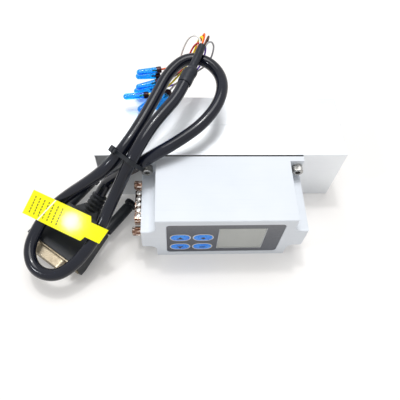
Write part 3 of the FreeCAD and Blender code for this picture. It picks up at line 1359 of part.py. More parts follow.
def flag_label():
    """The label: a wide flag with a narrow end, laid across both strands."""
    half, tail = size.label_width / 2, size.label_tail_width / 2
    reach = size.label_length + size.label_tail_length
    skew = size.label_skew / 2
    body = new_body("Label")
    sketch = new_sketch(body, "LabelOutline", "XY_Plane", 0)
    polygon(sketch, [(-skew, -half), (size.label_length - skew, -half),
                     (size.label_length, -tail), (reach, -tail), (reach + skew, tail),
                     (size.label_length + skew, tail), (size.label_length, half),
                     (skew, half)])
    pad(body, sketch, size.label_thickness)
    along = Vector(*LABEL_ALONG).normalize()
    normal = along.cross(Vector(*LABEL_ACROSS)).normalize()
    body.Placement = Placement(Vector(*LABEL_PLACE),
                               Rotation(along, normal.cross(along), normal, "XYZ"))
    keep(body, "flag_label")


flow_block()
flow_conditioning()
head_housing()
housing_fasteners()
front_panel()
display_unit()
main_board_unit()
connector()
sensor_unit()
lead_hood()
lead_connector()
tube("lead_cable", whole_route(), size.cable_diameter.value)
cores_and_caps(*sleeves())
cable_tie()
flag_label()

document.recompute()
for thing in document.Objects:
    faults = [state for state in thing.State if state in ("Invalid", "Error")]
    if faults:
        raise RuntimeError(f"{thing.Label} is {faults}")
for thing in nodes:
    if thing.Shape.isNull() or not thing.Shape.isValid():
        raise RuntimeError(f"{thing.Label} has no valid shape")

os.makedirs("parts", exist_ok=True)
for thing in nodes:
    thing.Shape.exportStep(f"parts/{thing.Label}.step")
print(f"{len(nodes)} sub-parts")
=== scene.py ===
import math

import bmesh
import bpy
import numpy as np
from mathutils import Matrix, Vector


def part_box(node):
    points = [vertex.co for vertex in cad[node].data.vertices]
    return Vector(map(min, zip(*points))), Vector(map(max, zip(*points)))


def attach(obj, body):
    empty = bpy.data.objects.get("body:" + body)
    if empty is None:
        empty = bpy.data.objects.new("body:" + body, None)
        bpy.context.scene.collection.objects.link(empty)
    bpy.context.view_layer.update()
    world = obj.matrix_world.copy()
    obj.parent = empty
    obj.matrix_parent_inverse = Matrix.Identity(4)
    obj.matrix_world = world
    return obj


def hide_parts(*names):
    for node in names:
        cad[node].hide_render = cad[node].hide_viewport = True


# A thermal gas mass flow meter with its lead laid over it. Lengths below are in
# millimetres: X runs along the bore, Y from the display to the back, Z up.
MM = 0.001
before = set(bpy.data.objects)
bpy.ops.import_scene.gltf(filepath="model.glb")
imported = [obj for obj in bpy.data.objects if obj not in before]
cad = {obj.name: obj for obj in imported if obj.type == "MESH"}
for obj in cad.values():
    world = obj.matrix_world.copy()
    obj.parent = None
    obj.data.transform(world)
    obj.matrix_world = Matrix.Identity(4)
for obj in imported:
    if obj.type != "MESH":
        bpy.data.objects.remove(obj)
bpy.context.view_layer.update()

FILM_Y = -47.05                 # face of the front film
MID_Z = 24.0                    # mid height of the meter
KEYS_MIDDLE = (-20.15, -4.6)    # of the four keys, from the meter's middle: along X and Z
KEY_STEPS = (7.05, 6.5)         # from there to each key's own middle
KEY_LENGTH = 11.6
KEY_HEIGHT = 7.6
FACE_DEPTH = 0.45               # from the film's face to the display's, behind the window
SCREW_STEPS = (47.5, 17.75)     # from the housing's middle to each cap screw, along X and Z
SCREW_SEAT_Y = 7.25             # where the shank of a cap screw starts
CONNECTOR_Y = -24.5             # middle of the meter's own connector
JACK_X = -51.0                  # left end of the housing, where the jack screws stand
JACK_STEP = 16.66               # from a connector's middle to each of its jack screws
BUMP_X = -53.0                  # middle of the bumps along the connector's shell
BUMP_STEP = 4.1
SHELL_HALF = 4.2                # half the height of that shell
CABLE_RADIUS = 3.75
WIRE_RADIUS = 0.6
LEAD_CORNER = (-107.5, -48.0)   # middle of the lead connector's front, on the floor
LEAD_AXIS_Z = 7.75              # height of the lead connector's middle
LEAD_ANGLE = math.radians(53)   # the way that the lead connector lies, from X
RELIEF_TILT = math.radians(38)  # the strain relief leans up by this
SLEEVE_REACH = 23.2             # from the cable's end to the small sleeve's mouth
SLEEVE_BORE = 2.18
CORE_CIRCLE = 1.368             # radius of the circle of six cores in the sleeve
CAP_RADIUS = 2.1
CAP_BORE = 1.65
CAP_STRAIGHT = 14.4             # from a cap's open end to where its nose starts

# Control points of the lead's line: out of the strain relief, over the meter and round
# both loops to the shrink sleeve.
LEAD_ROUTE = [
    (-79.75, -11.18, 17.60), (-75.96, -6.15, 22.53), (-69.2, -6.2, 31.0), (-62.0, -8.2, 40.5),
    (-54.5, -9.5, 48.5), (-44.3, -7.0, 55.5), (-29.3, 0.3, 59.5), (-13.0, 11.0, 64.0),
    (-2.0, 26.0, 67.5), (0.8, 43.0, 69.0), (-7.5, 57.5, 70.0), (-22.0, 61.0, 70.0),
    (-34.0, 49.0, 68.5), (-42.0, 31.0, 65.5), (-51.0, 12.5, 62.0), (-60.5, -4.0, 59.5),
    (-71.0, -13.5, 52.5), (-83.0, -16.5, 42.0), (-95.5, -19.0, 32.5), (-107.0, -25.0, 26.0),
    (-115.5, -36.5, 22.0), (-120.0, -50.5, 19.0), (-115.5, -63.0, 17.0),
    (-103.0, -68.0, 17.5), (-91.0, -62.0, 20.5), (-82.0, -51.0, 24.0),
    (-75.5, -40.0, 28.5), (-69.5, -29.0, 36.0), (-63.0, -20.5, 47.0),
    (-57.0, -14.5, 58.5), (-50.5, -4.5, 64.5), (-43.5, 6.5, 68.0), (-36.0, 16.2, 69.9),
    (-27.9, 26.6, 71.4), (-21.3, 42.1, 74.0),
]

# Each core of the lead: its colour, its place in the sleeve (six round one), its length,
# its fold outside the sleeve, and the open end of its cap and a point at the cap's tip.
CORES = [
    ("orange", 0, 80.5, [(-10.4, 71.0, 81.2), (-11.4, 73.8, 77.0), (-15.0, 71.5, 67.0),
                         (-23.0, 66.1, 61.8)], (-38.8, 59.7, 60.5), (-55.0, 56.4, 60.5)),
    ("white", 1, 91.5, [(-15.8, 69.0, 81.4), (-20.8, 70.2, 78.6), (-24.8, 69.2, 68.5),
                        (-27.0, 66.5, 58.0), (-31.0, 56.8, 51.6)],
     (-42.5, 44.3, 51.5), (-53.6, 32.2, 50.9)),
    ("red", 2, 71.7, [(-14.6, 67.0, 77.2), (-17.8, 68.4, 72.4), (-20.8, 66.6, 64.8),
                      (-25.5, 62.0, 56.5)], (-39.5, 59.0, 55.5), (-56.0, 58.3, 55.5)),
    ("purple", 3, 82.1, [(-10.2, 67.4, 75.6), (-9.4, 67.0, 70.6), (-11.6, 63.0, 62.0),
                         (-20.5, 58.0, 55.0)], (-40.7, 49.7, 53.1), (-57.1, 47.6, 52.4)),
    ("grey", 4, 84.6, [(-6.6, 67.2, 78.6), (-3.8, 67.0, 73.6), (-7.0, 62.4, 63.6),
                       (-18.0, 56.0, 60.0)], (-33.7, 44.9, 56.1), (-41.7, 30.6, 53.7)),
    ("brown", 5, 88.1, [(-8.0, 70.0, 80.4), (-7.6, 72.4, 75.6), (-11.5, 69.4, 65.5),
                        (-21.5, 62.5, 58.2)], (-39.6, 51.0, 58.6), (-55.2, 45.9, 57.5)),
    ("yellow", 6, 95.0, [(-12.0, 71.2, 79.6), (-14.6, 72.2, 74.0), (-17.8, 68.4, 64.5),
                         (-25.5, 56.2, 60.4)], (-46.7, 40.0, 57.5), (-63.1, 38.2, 57.5)),
]

TIE_PLACE = (-57.2, -9.4, 54.4)         # among the strands that the tie holds
TIE_RUN = (0.58, 0.66, 0.47)            # the way that those strands run
TIE_REACH = 16                          # a strand further off than this isn't held
LABEL_PLACE = (-122.0, -22.0, 29.3)     # middle of the label's free wide end
LABEL_ALONG = (0.875, -0.480, 0.066)
LABEL_ACROSS = (0.400, 0.800, 0.440)
LABEL_LENGTH = 56.8
LABEL_HALF = 8.0                        # half the width of the wide part
LABEL_END_HALF = 4.75                   # half the width of the narrow end
LABEL_STEP = 45.0                       # where the wide part turns into the narrow end
LABEL_THICKNESS = 0.3

CAMERA_PLACE = (-31.44, -163.70, 277.18)
CAMERA_TURNS = (-6.87, 60.12, 5.60)     # yaw, pitch below level and roll, in degrees
CAMERA_LENS = 40.44                     # focal length with a sensor 36 wide


def put_in_scene(name, data):
    """A new object in the scene."""
    thing = bpy.data.objects.new(name, data)
    bpy.context.scene.collection.objects.link(thing)
    return thing


# Camera

def photo_camera():
    """The camera where the photograph was taken: an eye point, and a yaw, pitch and roll."""
    yaw, pitch, roll = (math.radians(turn) for turn in CAMERA_TURNS)
    ahead = Vector((-math.sin(yaw) * math.cos(pitch), math.cos(yaw) * math.cos(pitch),
                    -math.sin(pitch)))
    right = Vector((math.cos(yaw), math.sin(yaw), 0))
    up = right.cross(ahead)
    across = right * math.cos(roll) + up * math.sin(roll)
    rise = up * math.cos(roll) - right * math.sin(roll)
    lens = bpy.data.cameras.new("photo_camera")
    lens.lens, lens.sensor_width, lens.clip_start = CAMERA_LENS, 36.0, 0.01
    camera = put_in_scene("photo_camera", lens)
    turn = Matrix((across, rise, -ahead)).transposed().to_4x4()
    camera.matrix_world = Matrix.Translation(Vector(CAMERA_PLACE) * MM) @ turn
    bpy.context.scene.camera = camera


photo_camera()


# Finishes

def linear(*levels):
    """A colour given as display levels from 0 to 255, as the shader wants it."""
    share = np.asarray(levels, float) / 255
    low = share / 12.92
    high = ((share + 0.055) / 1.055) ** 2.4
    return tuple(np.where(share <= 0.04045, low, high).tolist()) + (1.0,)


class Finish:
    """A material under construction: its node tree, and short words for its links."""

    def __init__(self, name):
        self.material = bpy.data.materials.new(name)
        self.material.use_nodes = True
        self.tree = self.material.node_tree
        self.shader = self.tree.nodes["Principled BSDF"]
        self.place = self.node("ShaderNodeTexCoord").outputs["Object"]

    def put(self, socket, value):
        """Links an input to another node's output, or gives it a plain value."""
        if isinstance(value, bpy.types.NodeSocket):
            self.tree.links.new(value, socket)
        else:
            socket.default_value = value

    def node(self, kind, **values):
        """A node with the given inputs set or linked. A key _0 or _1 names an input by its
        number, and one that starts with set_ a property of the node."""
        made = self.tree.nodes.new(kind)
        for key, value in values.items():
            if key.startswith("set_"):
                setattr(made, key[4:], value)
            else:
                name = int(key[1:]) if key[1:].isdigit() else key.replace("_", " ")
                self.put(made.inputs[name], value)
        return made

    def noise(self, scale, detail=3.0, rough=0.55, stretch=(1, 1, 1)):
        """Noise of that many features per metre, drawn out along an axis by stretch."""
        turned = self.node("ShaderNodeMapping", Vector=self.place, Scale=stretch)
        return self.node("ShaderNodeTexNoise", Vector=turned.outputs[0], Scale=scale,
                         Detail=detail, Roughness=rough).outputs["Fac"]

    def ramp(self, value, *colours, at=(0.3, 0.7)):
        """A value turned into a colour. The colours are levels, each at its own position."""
        made = self.node("ShaderNodeValToRGB", Fac=value)
        band = made.color_ramp
        while len(band.elements) < len(colours):
            band.elements.new(0.5)
        for element, position, levels in zip(band.elements, at, colours):
            element.position = position
            element.color = linear(*levels)
        return made.outputs["Color"]

    def span(self, value, low, high, first=0.3, last=0.7):
        """A value from first to last, where noise mostly lies, brought to low to high."""
        made = self.node("ShaderNodeMapRange", Value=value)
        for index, amount in zip((1, 2, 3, 4), (first, last, low, high)):
            made.inputs[index].default_value = amount
        return made.outputs[0]

    def mix(self, share, shade, levels):
        """A shade where the share is 0, mixed into the colour of the levels where it is 1."""
        made = self.tree.nodes.new("ShaderNodeMix")
        made.data_type = "RGBA"
        for index, value in ((0, share), (6, shade), (7, linear(*levels))):
            self.put(made.inputs[index], value)
        return made.outputs[2]

    def reckon(self, first, second, kind="ADD"):
        """Two values brought together by an operation of the Math node."""
        return self.node("ShaderNodeMath", set_operation=kind, _0=first, _1=second).outputs[0]

    def wear(self, value, strength, distance):
        """Relief from a value, given as a depth in millimetres."""
        made = self.node("ShaderNodeBump", Height=value, Strength=strength,
                         Distance=distance * MM)
        self.tree.links.new(made.outputs[0], self.shader.inputs["Normal"])

    def end(self, shade, roughness, **values):
        """Sets the shader's own sockets, and gives back the material."""
        values.update(Base_Color=shade, Roughness=roughness)
        for key, value in values.items():
            self.put(self.shader.inputs[key.replace("_", " ")], value)
        return self.material


def moulded(name, dark, light, roughness, grain=2200, depth=0.03, drift=60):
    """Plastic or rubber: two close shades in slow drifts, with a fine spark-eroded grain."""
    made = Finish(name)
    slow = made.noise(drift, 2.0)
    fine = made.noise(grain, 4.0, 0.6)
    shade = made.ramp(slow, dark, light)
    rough = made.span(fine, roughness * 0.8, roughness * 1.25)
    made.wear(fine, 0.35, depth)
    return made.end(shade, rough, Specular_IOR_Level=0.3)


def metal(name, dark, light, roughness, stretch=(1, 1, 1), grain=1500, depth=0.015):
    """Bare or plated metal: fine marks drawn out by stretch, and a slow change of tone."""
    made = Finish(name)
    slow = made.noise(110, 3.0)
    marks = made.noise(grain, 3.0, 0.6, stretch)
    shade = made.ramp(slow, dark, light)
    shade = made.mix(made.span(marks, 0.0, 0.35, 0.45, 0.75), shade, dark)
    rough = made.span(marks, roughness * 0.7, roughness * 1.4)
    made.wear(marks, 0.3, depth)
    return made.end(shade, rough, Metallic=1.0)


def anodised_aluminium():
    """Pale bead-blasted anodised skin: pits a fifth of a millimetre across, faint drag marks
    along the bar that it was cut from, and a slow change of tone."""
    made = Finish("anodised_aluminium")
    slow = made.noise(24, 3.0)
    pits = made.noise(5200, 3.0, 0.7)
    drag = made.noise(900, 2.0, 0.5, (0.03, 1, 1))
    shade = made.ramp(slow, (222, 228, 235), (228, 233, 240))
    shade = made.mix(made.span(drag, 0.0, 0.25, 0.55, 0.8), shade, (212, 218, 226))
    rough = made.span(pits, 0.38, 0.52)
    relief = made.reckon(pits, made.span(drag, 0.0, 0.3, 0, 1))
    made.wear(relief, 0.25, 0.012)
    return made.end(shade, rough, Specular_IOR_Level=0.2)


def milled_aluminium():
    """Brighter milled bar: fine tool marks along the bore's direction, two or three to a
    millimetre, over a slow change of tone."""
    made = Finish("milled_aluminium")
    slow = made.noise(20, 3.0)
    marks = made.noise(2600, 3.0, 0.6, (0.02, 1, 1))
    shade = made.ramp(slow, (228, 231, 235), (235, 238, 241))
    shade = made.mix(made.span(marks, 0.0, 0.3, 0.5, 0.8), shade, (216, 219, 224))
    made.wear(marks, 0.2, 0.008)
    return made.end(shade, made.span(marks, 0.3, 0.42), Metallic=0.8)


def front_film():
    """Dark grey printed film, with painted light and shade: lighter towards its top edge and
    its right side. A matt texture of pressed dots, four to a millimetre."""
    made = Finish("front_film")
    split = made.node("ShaderNodeSeparateXYZ", Vector=made.place)
    # Painted light and shade: lighter towards the top edge and towards the right side
    high = made.span(split.outputs["Z"], 0.0, 1.0, 0.005, 0.043)
    right = made.span(split.outputs["X"], 0.0, 1.0, -0.036, 0.036)
    shade = made.ramp(high, (80, 83, 92), (98, 100, 106), (116, 117, 121), at=(0.0, 0.7, 1.0))
    shade = made.mix(made.span(right, 0.0, 0.4, 0, 1), shade, (130, 133, 140))
    dots = made.node("ShaderNodeTexVoronoi", Vector=made.place, Scale=3800).outputs["Distance"]
    fine = made.noise(700, 4.0)
    shade = made.mix(made.span(fine, 0.0, 0.2, 0.35, 0.75), shade, (70, 73, 79))
    made.wear(dots, 0.2, 0.01)
    return made.end(shade, made.span(fine, 0.36, 0.5), Specular_IOR_Level=0.18)


def liquid_crystal():
    """The display, switched off: pale grey with a grid of fine dots a third of a
    millimetre apart, over a slow change of tone."""
    made = Finish("liquid_crystal")
    slow = made.noise(30, 2.0)
    shade = made.ramp(slow, (198, 200, 196), (206, 208, 205))
    grid = made.node("ShaderNodeTexChecker", Vector=made.place, Scale=3000.0)
    shade = made.mix(made.span(grid.outputs["Fac"], 0.0, 0.10, 0, 1), shade, (150, 154, 150))
    made.wear(made.noise(1500, 2.0), 0.1, 0.01)
    return made.end(shade, made.span(made.noise(900), 0.28, 0.4))


def clear_window():
    """The film's clear window: see-through, barely grey, with soft long scuffs."""
    made = Finish("clear_window")
    scuffs = made.noise(260, 4.0, 0.6, (0.15, 1, 1))
    made.wear(scuffs, 0.08, 0.02)
    shade = made.ramp(scuffs, (196, 199, 196), (214, 216, 214), at=(0.3, 0.8))
    return made.end(shade, made.span(scuffs, 0.12, 0.3, 0, 1), Alpha=0.22)


def blue_key():
    """Glossy blue printed keys: two close blues in patches as large as half a key, with a
    faint orange-peel skin."""
    made = Finish("blue_key")
    peel = made.noise(900, 2.0)
    slow = made.noise(180, 3.0)
    shade = made.ramp(slow, (24, 122, 240), (58, 156, 255))
    made.wear(peel, 0.12, 0.02)
    return made.end(shade, made.span(peel, 0.22, 0.36), Specular_IOR_Level=0.3)


def label_film():
    """Glossy yellow flag film, a little uneven. Rows of plain dashes cross its wide part,
    3.4 mm apart and 0.85 mm high, the dashes 1.4 mm long and 0.5 mm apart. One slanted fold
    has turned white. The label's own map runs from 0 to 1 along it and across it."""
    made = Finish("label_film")
    sheet = made.node("ShaderNodeUVMap", set_uv_map="label").outputs[0]
    split = made.node("ShaderNodeSeparateXYZ", Vector=sheet)
    along, across = split.outputs["X"], split.outputs["Y"]

    def between(value, low, high):
        """1 where a value lies between two others, else 0."""
        return made.reckon(made.reckon(value, low, "GREATER_THAN"),
                           made.reckon(value, high, "LESS_THAN"), "MULTIPLY")

    rows = made.reckon(made.reckon(along, 0.03, "PINGPONG"), 0.0225, "GREATER_THAN")
    dashes = made.reckon(made.reckon(across, 0.06, "PINGPONG"), 0.016, "GREATER_THAN")
    printed = made.reckon(between(along, 0.08, 0.5), between(across, 0.12, 0.84), "MULTIPLY")
    ruled = made.reckon(made.reckon(rows, dashes, "MULTIPLY"), printed, "MULTIPLY")
    slant = made.reckon(along, made.reckon(across, 0.111, "MULTIPLY"), "SUBTRACT")
    from_fold = made.reckon(made.reckon(slant, 0.22, "SUBTRACT"), 0.0, "ABSOLUTE")
    fold = made.span(from_fold, 1.0, 0.0, 0.003, 0.011)
    slow = made.noise(90, 2.0)
    fine = made.noise(1400, 3.0)
    shade = made.ramp(slow, (250, 244, 0), (255, 250, 0))
    ink = made.reckon(ruled, made.span(fine, 0.55, 0.95, 0.3, 0.6), "MULTIPLY")
    shade = made.mix(ink, shade, (60, 58, 20))
    shade = made.mix(fold, shade, (250, 250, 240))
    made.wear(made.noise(240, 3.0), 0.06, 0.1)
    return made.end(shade, made.span(fine, 0.5, 0.6), Specular_IOR_Level=0.02,
                    Coat_Weight=0.6, Coat_Roughness=0.12)


def cable_sheath():
    """Glossy black sheath: slow dents, a hair-fine grain and a trace of dust."""
    made = Finish("cable_sheath")
    slow = made.noise(45, 2.0)
    dents = made.noise(170, 2.0)
    fine = made.noise(2600, 3.0)
    shade = made.ramp(slow, (14, 17, 28), (22, 26, 40))
    dust = made.span(made.noise(700, 4.0, 0.7), 0.0, 0.22, 0.62, 0.8)
    shade = made.mix(dust, shade, (52, 55, 64))
    made.wear(made.reckon(dents, made.span(fine, 0.0, 0.02, 0, 1)), 0.05, 0.2)
    return made.end(shade, made.span(fine, 0.1, 0.17), Specular_IOR_Level=0.36)


def shrunk_sleeve():
    """Shrink sleeve: matt black with soft wrinkles where it grips what is inside."""
    made = Finish("shrunk_sleeve")
    wrinkles = made.noise(420, 3.0, 0.6, (1, 1, 0.5))
    fine = made.noise(2400, 3.0)
    shade = made.ramp(made.noise(120), (26, 28, 35), (40, 43, 52))
    made.wear(made.reckon(wrinkles, made.span(fine, 0.0, 0.15, 0, 1)), 0.4, 0.12)
    return made.end(shade, made.span(fine, 0.34, 0.5), Specular_IOR_Level=0.25)


def blue_cap():
    """Translucent blue end cap: light passes through it, with slight flow marks along it."""
    made = Finish("blue_cap")
    flow = made.noise(420, 3.0, 0.5, (0.25, 1, 1))
    shade = made.ramp(flow, (60, 190, 255), (86, 206, 255))
    made.wear(flow, 0.12, 0.05)
    return made.end(shade, made.span(flow, 0.04, 0.1), Transmission_Weight=0.94, IOR=1.15,
                    Coat_Weight=0.6, Coat_Roughness=0.06)


def circuit_board():
    """Green solder mask over a weave of glass, drawn as bricks, with paler specks."""
    made = Finish("circuit_board")
    tracks = made.node("ShaderNodeTexBrick", Vector=made.place, Scale=420.0,
                       Color1=linear(14, 92, 46), Color2=linear(20, 108, 54),
                       Mortar=linear(8, 70, 36)).outputs["Color"]
    fine = made.noise(1700, 3.0)
    shade = made.mix(made.span(fine, 0.0, 0.3, 0.4, 0.8), tracks, (36, 120, 62))
    made.wear(fine, 0.2, 0.02)
    return made.end(shade, made.span(fine, 0.25, 0.4))


def nickel_painted_reflections():
    """Nickel plate: bright, with painted brown and dark reflections in patches one or two
    millimetres across."""
    made = Finish("nickel_painted_reflections")
    patches = made.noise(620, 3.0, 0.6, (0.6, 1, 1))
    marks = made.noise(2600, 3.0)
    # Painted reflections: dark brown, mid brown and near white over the patch noise
    shade = made.ramp(patches, (86, 50, 38), (168, 140, 122), (244, 240, 236),
                      at=(0.38, 0.52, 0.62))
    made.wear(marks, 0.25, 0.015)
    return made.end(shade, made.span(marks, 0.12, 0.26), Metallic=1.0)


# The finish of each slot of the solids, then of three nodes with a look of their own, and
# then those of the ferrules, the keys' rims and marks and the shell's bumps.
FINISHES = {
    "light_aluminium": anodised_aluminium(),
    "grey_film": front_film(),
    "clear_window": clear_window(),
    "display_glass": liquid_crystal(),
    "backlight": moulded("diffuser", (226, 226, 222), (238, 238, 234), 0.5),
    "blue_key": blue_key(),
    "rubber": moulded("rubber", (22, 22, 24), (34, 34, 36), 0.7, 1200, 0.05),
    "steel": metal("stainless_steel", (138, 137, 134), (192, 191, 188), 0.28),
    # Nickel with painted brown reflections
    "nickel": nickel_painted_reflections(),
    "black_plastic": moulded("black_moulding", (22, 25, 30), (34, 38, 44), 0.42),
    "gold_contact": metal("gold_plate", (196, 148, 62), (236, 196, 110), 0.22),
    "green_board": circuit_board(),
    "black_chip": moulded("chip_epoxy", (18, 18, 19), (30, 30, 32), 0.5, 1800),
    "capacitor_can": metal("capacitor_can", (150, 152, 156), (200, 202, 206), 0.25,
                           (1, 1, 0.1)),
    "beige_polymer": moulded("beige_polymer", (196, 178, 140), (210, 194, 158), 0.4, 1400),
    "plain_aluminium": metal("turned_aluminium", (176, 178, 182), (212, 214, 217), 0.32,
                             (1, 0.1, 0.1)),
    "silicon": metal("silicon", (70, 74, 84), (104, 108, 120), 0.15),
    "amber_flex": moulded("amber_flex", (160, 84, 14), (190, 110, 26), 0.3),
    "cable_black": cable_sheath(),
    "sleeve_black": shrunk_sleeve(),
    "yellow_label": label_film(),
    "clear_blue_cap": blue_cap(),
}
# Insulation of the cores: smooth, with faint drifts of shade a few millimetres long
CORE_SHADES = {
    "orange": ((236, 84, 8), (250, 104, 16)), "red": ((214, 24, 34), (236, 44, 52)),
    "brown": ((84, 44, 30), (106, 60, 42)), "purple": ((96, 62, 178), (124, 90, 206)),
    "yellow": ((246, 222, 20), (255, 236, 50)), "white": ((232, 230, 226), (244, 243, 240)),
    "grey": ((160, 160, 164), (186, 186, 190)),
}
for colour, (dark, light) in CORE_SHADES.items():
    FINISHES["core_" + colour] = moulded("core_" + colour, dark, light, 0.33, 1500, 0.02, 300)
tin_plate = metal("tin_plate", (140, 128, 108), (178, 168, 148), 0.42, grain=1200, depth=0.02)
OWN_FINISHES = {
    "flow_block": milled_aluminium(),
    "lead_connector_shell": tin_plate,
    "lead_contact_carrier": tin_plate,
}
ferrule_finish = metal("ferrule_dark", (30, 20, 22), (70, 50, 52), 0.3)
rim_finish = moulded("silver_print", (196, 200, 204), (222, 225, 228), 0.3, 900)
mark_finish = moulded("dark_print", (44, 40, 44), (60, 56, 58), 0.4, 900)
bump_finish = metal("bright_nickel", (236, 233, 228), (254, 254, 252), 0.34, grain=1400,
                    depth=0.01)

for part_name, part in cad.items():
    for holder in part.material_slots:
        slot_name = holder.material.name.split(".")[0]
        holder.material = OWN_FINISHES.get(part_name) or FINISHES[slot_name]


# Surfaces worked out from rings of points

def unit(vector):
    """A vector, or each row of several, brought to length 1."""
    vector = np.asarray(vector, float)
    return vector / np.linalg.norm(vector, axis=-1, keepdims=True)


def net(rows, columns, wrap_rows=False, first=0):
    """Quads between neighbouring points of rows by columns, closed along each row and,
    where asked, from the last row to the first."""
    row = np.arange(rows if wrap_rows else rows - 1)[:, None]
    column = np.arange(columns)[None, :]
    below, beside = (row + 1) % rows, (column + 1) % columns
    quads = [row * columns + column, row * columns + beside,
             below * columns + beside, below * columns + column]
    stacked = np.stack([q + np.zeros_like(row * column) for q in quads], -1)
    return (first + stacked.reshape(-1, 4)).tolist()


def skin(rings, first=0):
    """Points and faces of a skin over rings, each end closed by a fan to its middle."""
    rings = np.asarray(rings, float)
    count, sides, _ = rings.shape
    points = np.vstack([rings.reshape(-1, 3), rings[0].mean(0), rings[-1].mean(0)])
    side = np.arange(sides)
    beside = (side + 1) % sides
    start = np.full(sides, count * sides)
    low = np.stack([start, beside, side], -1)
    high = np.stack([start + 1, (count - 1) * sides + side, (count - 1) * sides + beside], -1)
    fans = (first + np.vstack([low, high])).tolist()
    return points, net(count, sides, first=first) + fans


def together(skins):
    """Several skins as one set of points and faces. Each is a stack of rings."""
    points, faces, first = [], [], 0
    for rings in skins:
        more, added = skin(rings, first)
        points.append(more)
        faces += added
        first += len(more)
    return np.vstack(points), faces


def angles(sides):
    """Angles evenly spaced once round."""
    return np.linspace(0, 2 * np.pi, sides, endpoint=False)


def spun(profile, origin, axis, sides=48):
    """Rings about an axis. Each profile entry is a distance along it and a radius, which
    may differ all round."""
    axis = unit(axis)
    side = unit(np.cross(axis, (0, 0, 1.0))) if abs(axis[2]) < 0.99 else np.array([1.0, 0, 0])
    up = np.cross(side, axis)
    turn = angles(sides)
    spokes = np.cos(turn)[:, None] * side + np.sin(turn)[:, None] * up
    reach = np.array([distance for distance, _ in profile])[:, None, None] * axis
    radii = np.array([np.zeros(sides) + radius for _, radius in profile])[..., None]
    return np.asarray(origin, float) + reach + radii * spokes


def swept(path, radii, sides=32):
    """Rings square to a path, with a radius for each point of it, or one for each point
    and direction."""
    path = np.asarray(path, float)
    ahead = unit(np.gradient(path, axis=0))
    side = unit(np.cross(ahead, (0, 0, 1.0)))
    up = np.cross(side, ahead)
    turn = angles(sides)[None, :, None]
    spokes = np.cos(turn) * side[:, None] + np.sin(turn) * up[:, None]
    radii = np.asarray(radii, float)
    radii = radii[:, None, None] if radii.ndim == 1 else radii[..., None]
    return path[:, None] + radii * spokes


def hexagon(across, sides=48):
    """Radius of a hexagon in each direction, from its width across flats."""
    sixth = np.pi / 3
    return across / 2 / np.cos((angles(sides) + sixth / 2) % sixth - sixth / 2)


def knurl(radius, depth, teeth, sides):
    """Radius of a round knob with that many rounded teeth."""
    return radius - depth * (0.5 - 0.5 * np.cos(teeth * angles(sides))) ** 1.5


def make(name, points, faces, slot, replaced=(), finish=None, sharp=32, merge=True,
         sheet=None):
    """A finished piece from points in millimetres: normals outwards, smooth up to the
    sharp angle in degrees, riding on the meter. A sheet gives each point its place on the
    label's map."""
    mesh = bpy.data.meshes.new(name)
    mesh.from_pydata((np.asarray(points) * MM).tolist(), [], faces)
    mesh.update()
    if sheet is not None:
        corner = np.zeros(len(mesh.loops), int)
        mesh.loops.foreach_get("vertex_index", corner)
        mesh.uv_layers.new(name="label").data.foreach_set("uv", sheet[corner].ravel())
    work = bmesh.new()
    work.from_mesh(mesh)
    if merge:
        bmesh.ops.remove_doubles(work, verts=work.verts, dist=1e-7)
        bmesh.ops.dissolve_degenerate(work, edges=work.edges, dist=1e-8)
    bmesh.ops.recalc_face_normals(work, faces=work.faces)
    work.to_mesh(mesh)
    work.free()
    mesh.shade_smooth()
    mesh.set_sharp_from_angle(angle=math.radians(sharp))
    thing = put_in_scene(name, mesh)
    mesh.materials.append(finish or FINISHES[slot])
    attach(thing, "root")
    if replaced:
        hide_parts(*replaced)
    return thing


def make_skins(name, skins, slot, *more, **others):
    """A finished piece from several skins. What follows the slot is as for make."""
    return make(name, *together(skins), slot, *more, **others)


def soften(thing, width, segments):
    """Rounds those edges of a piece that turn by more than 30 degrees."""
    bevel = thing.modifiers.new("rounded_edges", "BEVEL")
    bevel.width = width * MM
    bevel.segments = segments
    bevel.limit_method = "ANGLE"
    bevel.angle_limit = math.radians(30)
    bevel.use_clamp_overlap = False
    bevel.harden_normals = False
    return thing


# The lead and its cores

def cord(name, route, radius, slot, node):
    """A round cord on an open spline whose control points are the route's points."""
    line = bpy.data.curves.new(name, "CURVE")
    line.dimensions = "3D"
    spline = line.splines.new("NURBS")
    spline.points.add(len(route) - 1)
    rows = np.hstack([np.asarray(route, float) * MM, np.ones((len(route), 1))])
    spline.points.foreach_set("co", rows.ravel())
    spline.order_u = 3
    spline.use_endpoint_u = True
    spline.resolution_u = 14
    line.bevel_depth = radius * MM
    line.bevel_resolution = 6
    line.use_fill_caps = True
    thing = put_in_scene(name, line)
    line.materials.append(FINISHES[slot])
    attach(thing, "root")
    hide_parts(node)
    return thing


def centre_line(thing):
    """The points of a cord's own line, read from its spline without its thickness."""
    bare = thing.data.copy()
    bare.bevel_depth = 0
    probe = bpy.data.objects.new("line_probe", bare)
    mesh = bpy.data.meshes.new_from_object(probe)
    points = np.zeros(len(mesh.vertices) * 3)
    mesh.vertices.foreach_get("co", points)
    bpy.data.objects.remove(probe)
    bpy.data.curves.remove(bare)
    bpy.data.meshes.remove(mesh)
    return points.reshape(-1, 3) / MM


lead = cord("lead_sheath", LEAD_ROUTE, CABLE_RADIUS, "cable_black", "lead_cable")
lead_line = centre_line(lead)


# The cable's end, the way that it points, the small sleeve's mouth and a way to one side
CABLE_END = np.array(LEAD_ROUTE[-1])
SLEEVE_WAY = unit(CABLE_END - np.array(LEAD_ROUTE[-2]))
SLEEVE_MOUTH = CABLE_END + SLEEVE_REACH * SLEEVE_WAY
SLEEVE_SIDE = unit(np.cross(SLEEVE_WAY, (0, 0, 1.0)))


def core_offsets():
    """Where the cores lie in the sleeve: six round one, the first on top."""
    up = np.cross(SLEEVE_SIDE, SLEEVE_WAY)
    turn = angles(6) + math.pi / 2
    six = (np.cos(turn)[:, None] * SLEEVE_SIDE + np.sin(turn)[:, None] * up) * CORE_CIRCLE
    return np.vstack([six, np.zeros(3)])


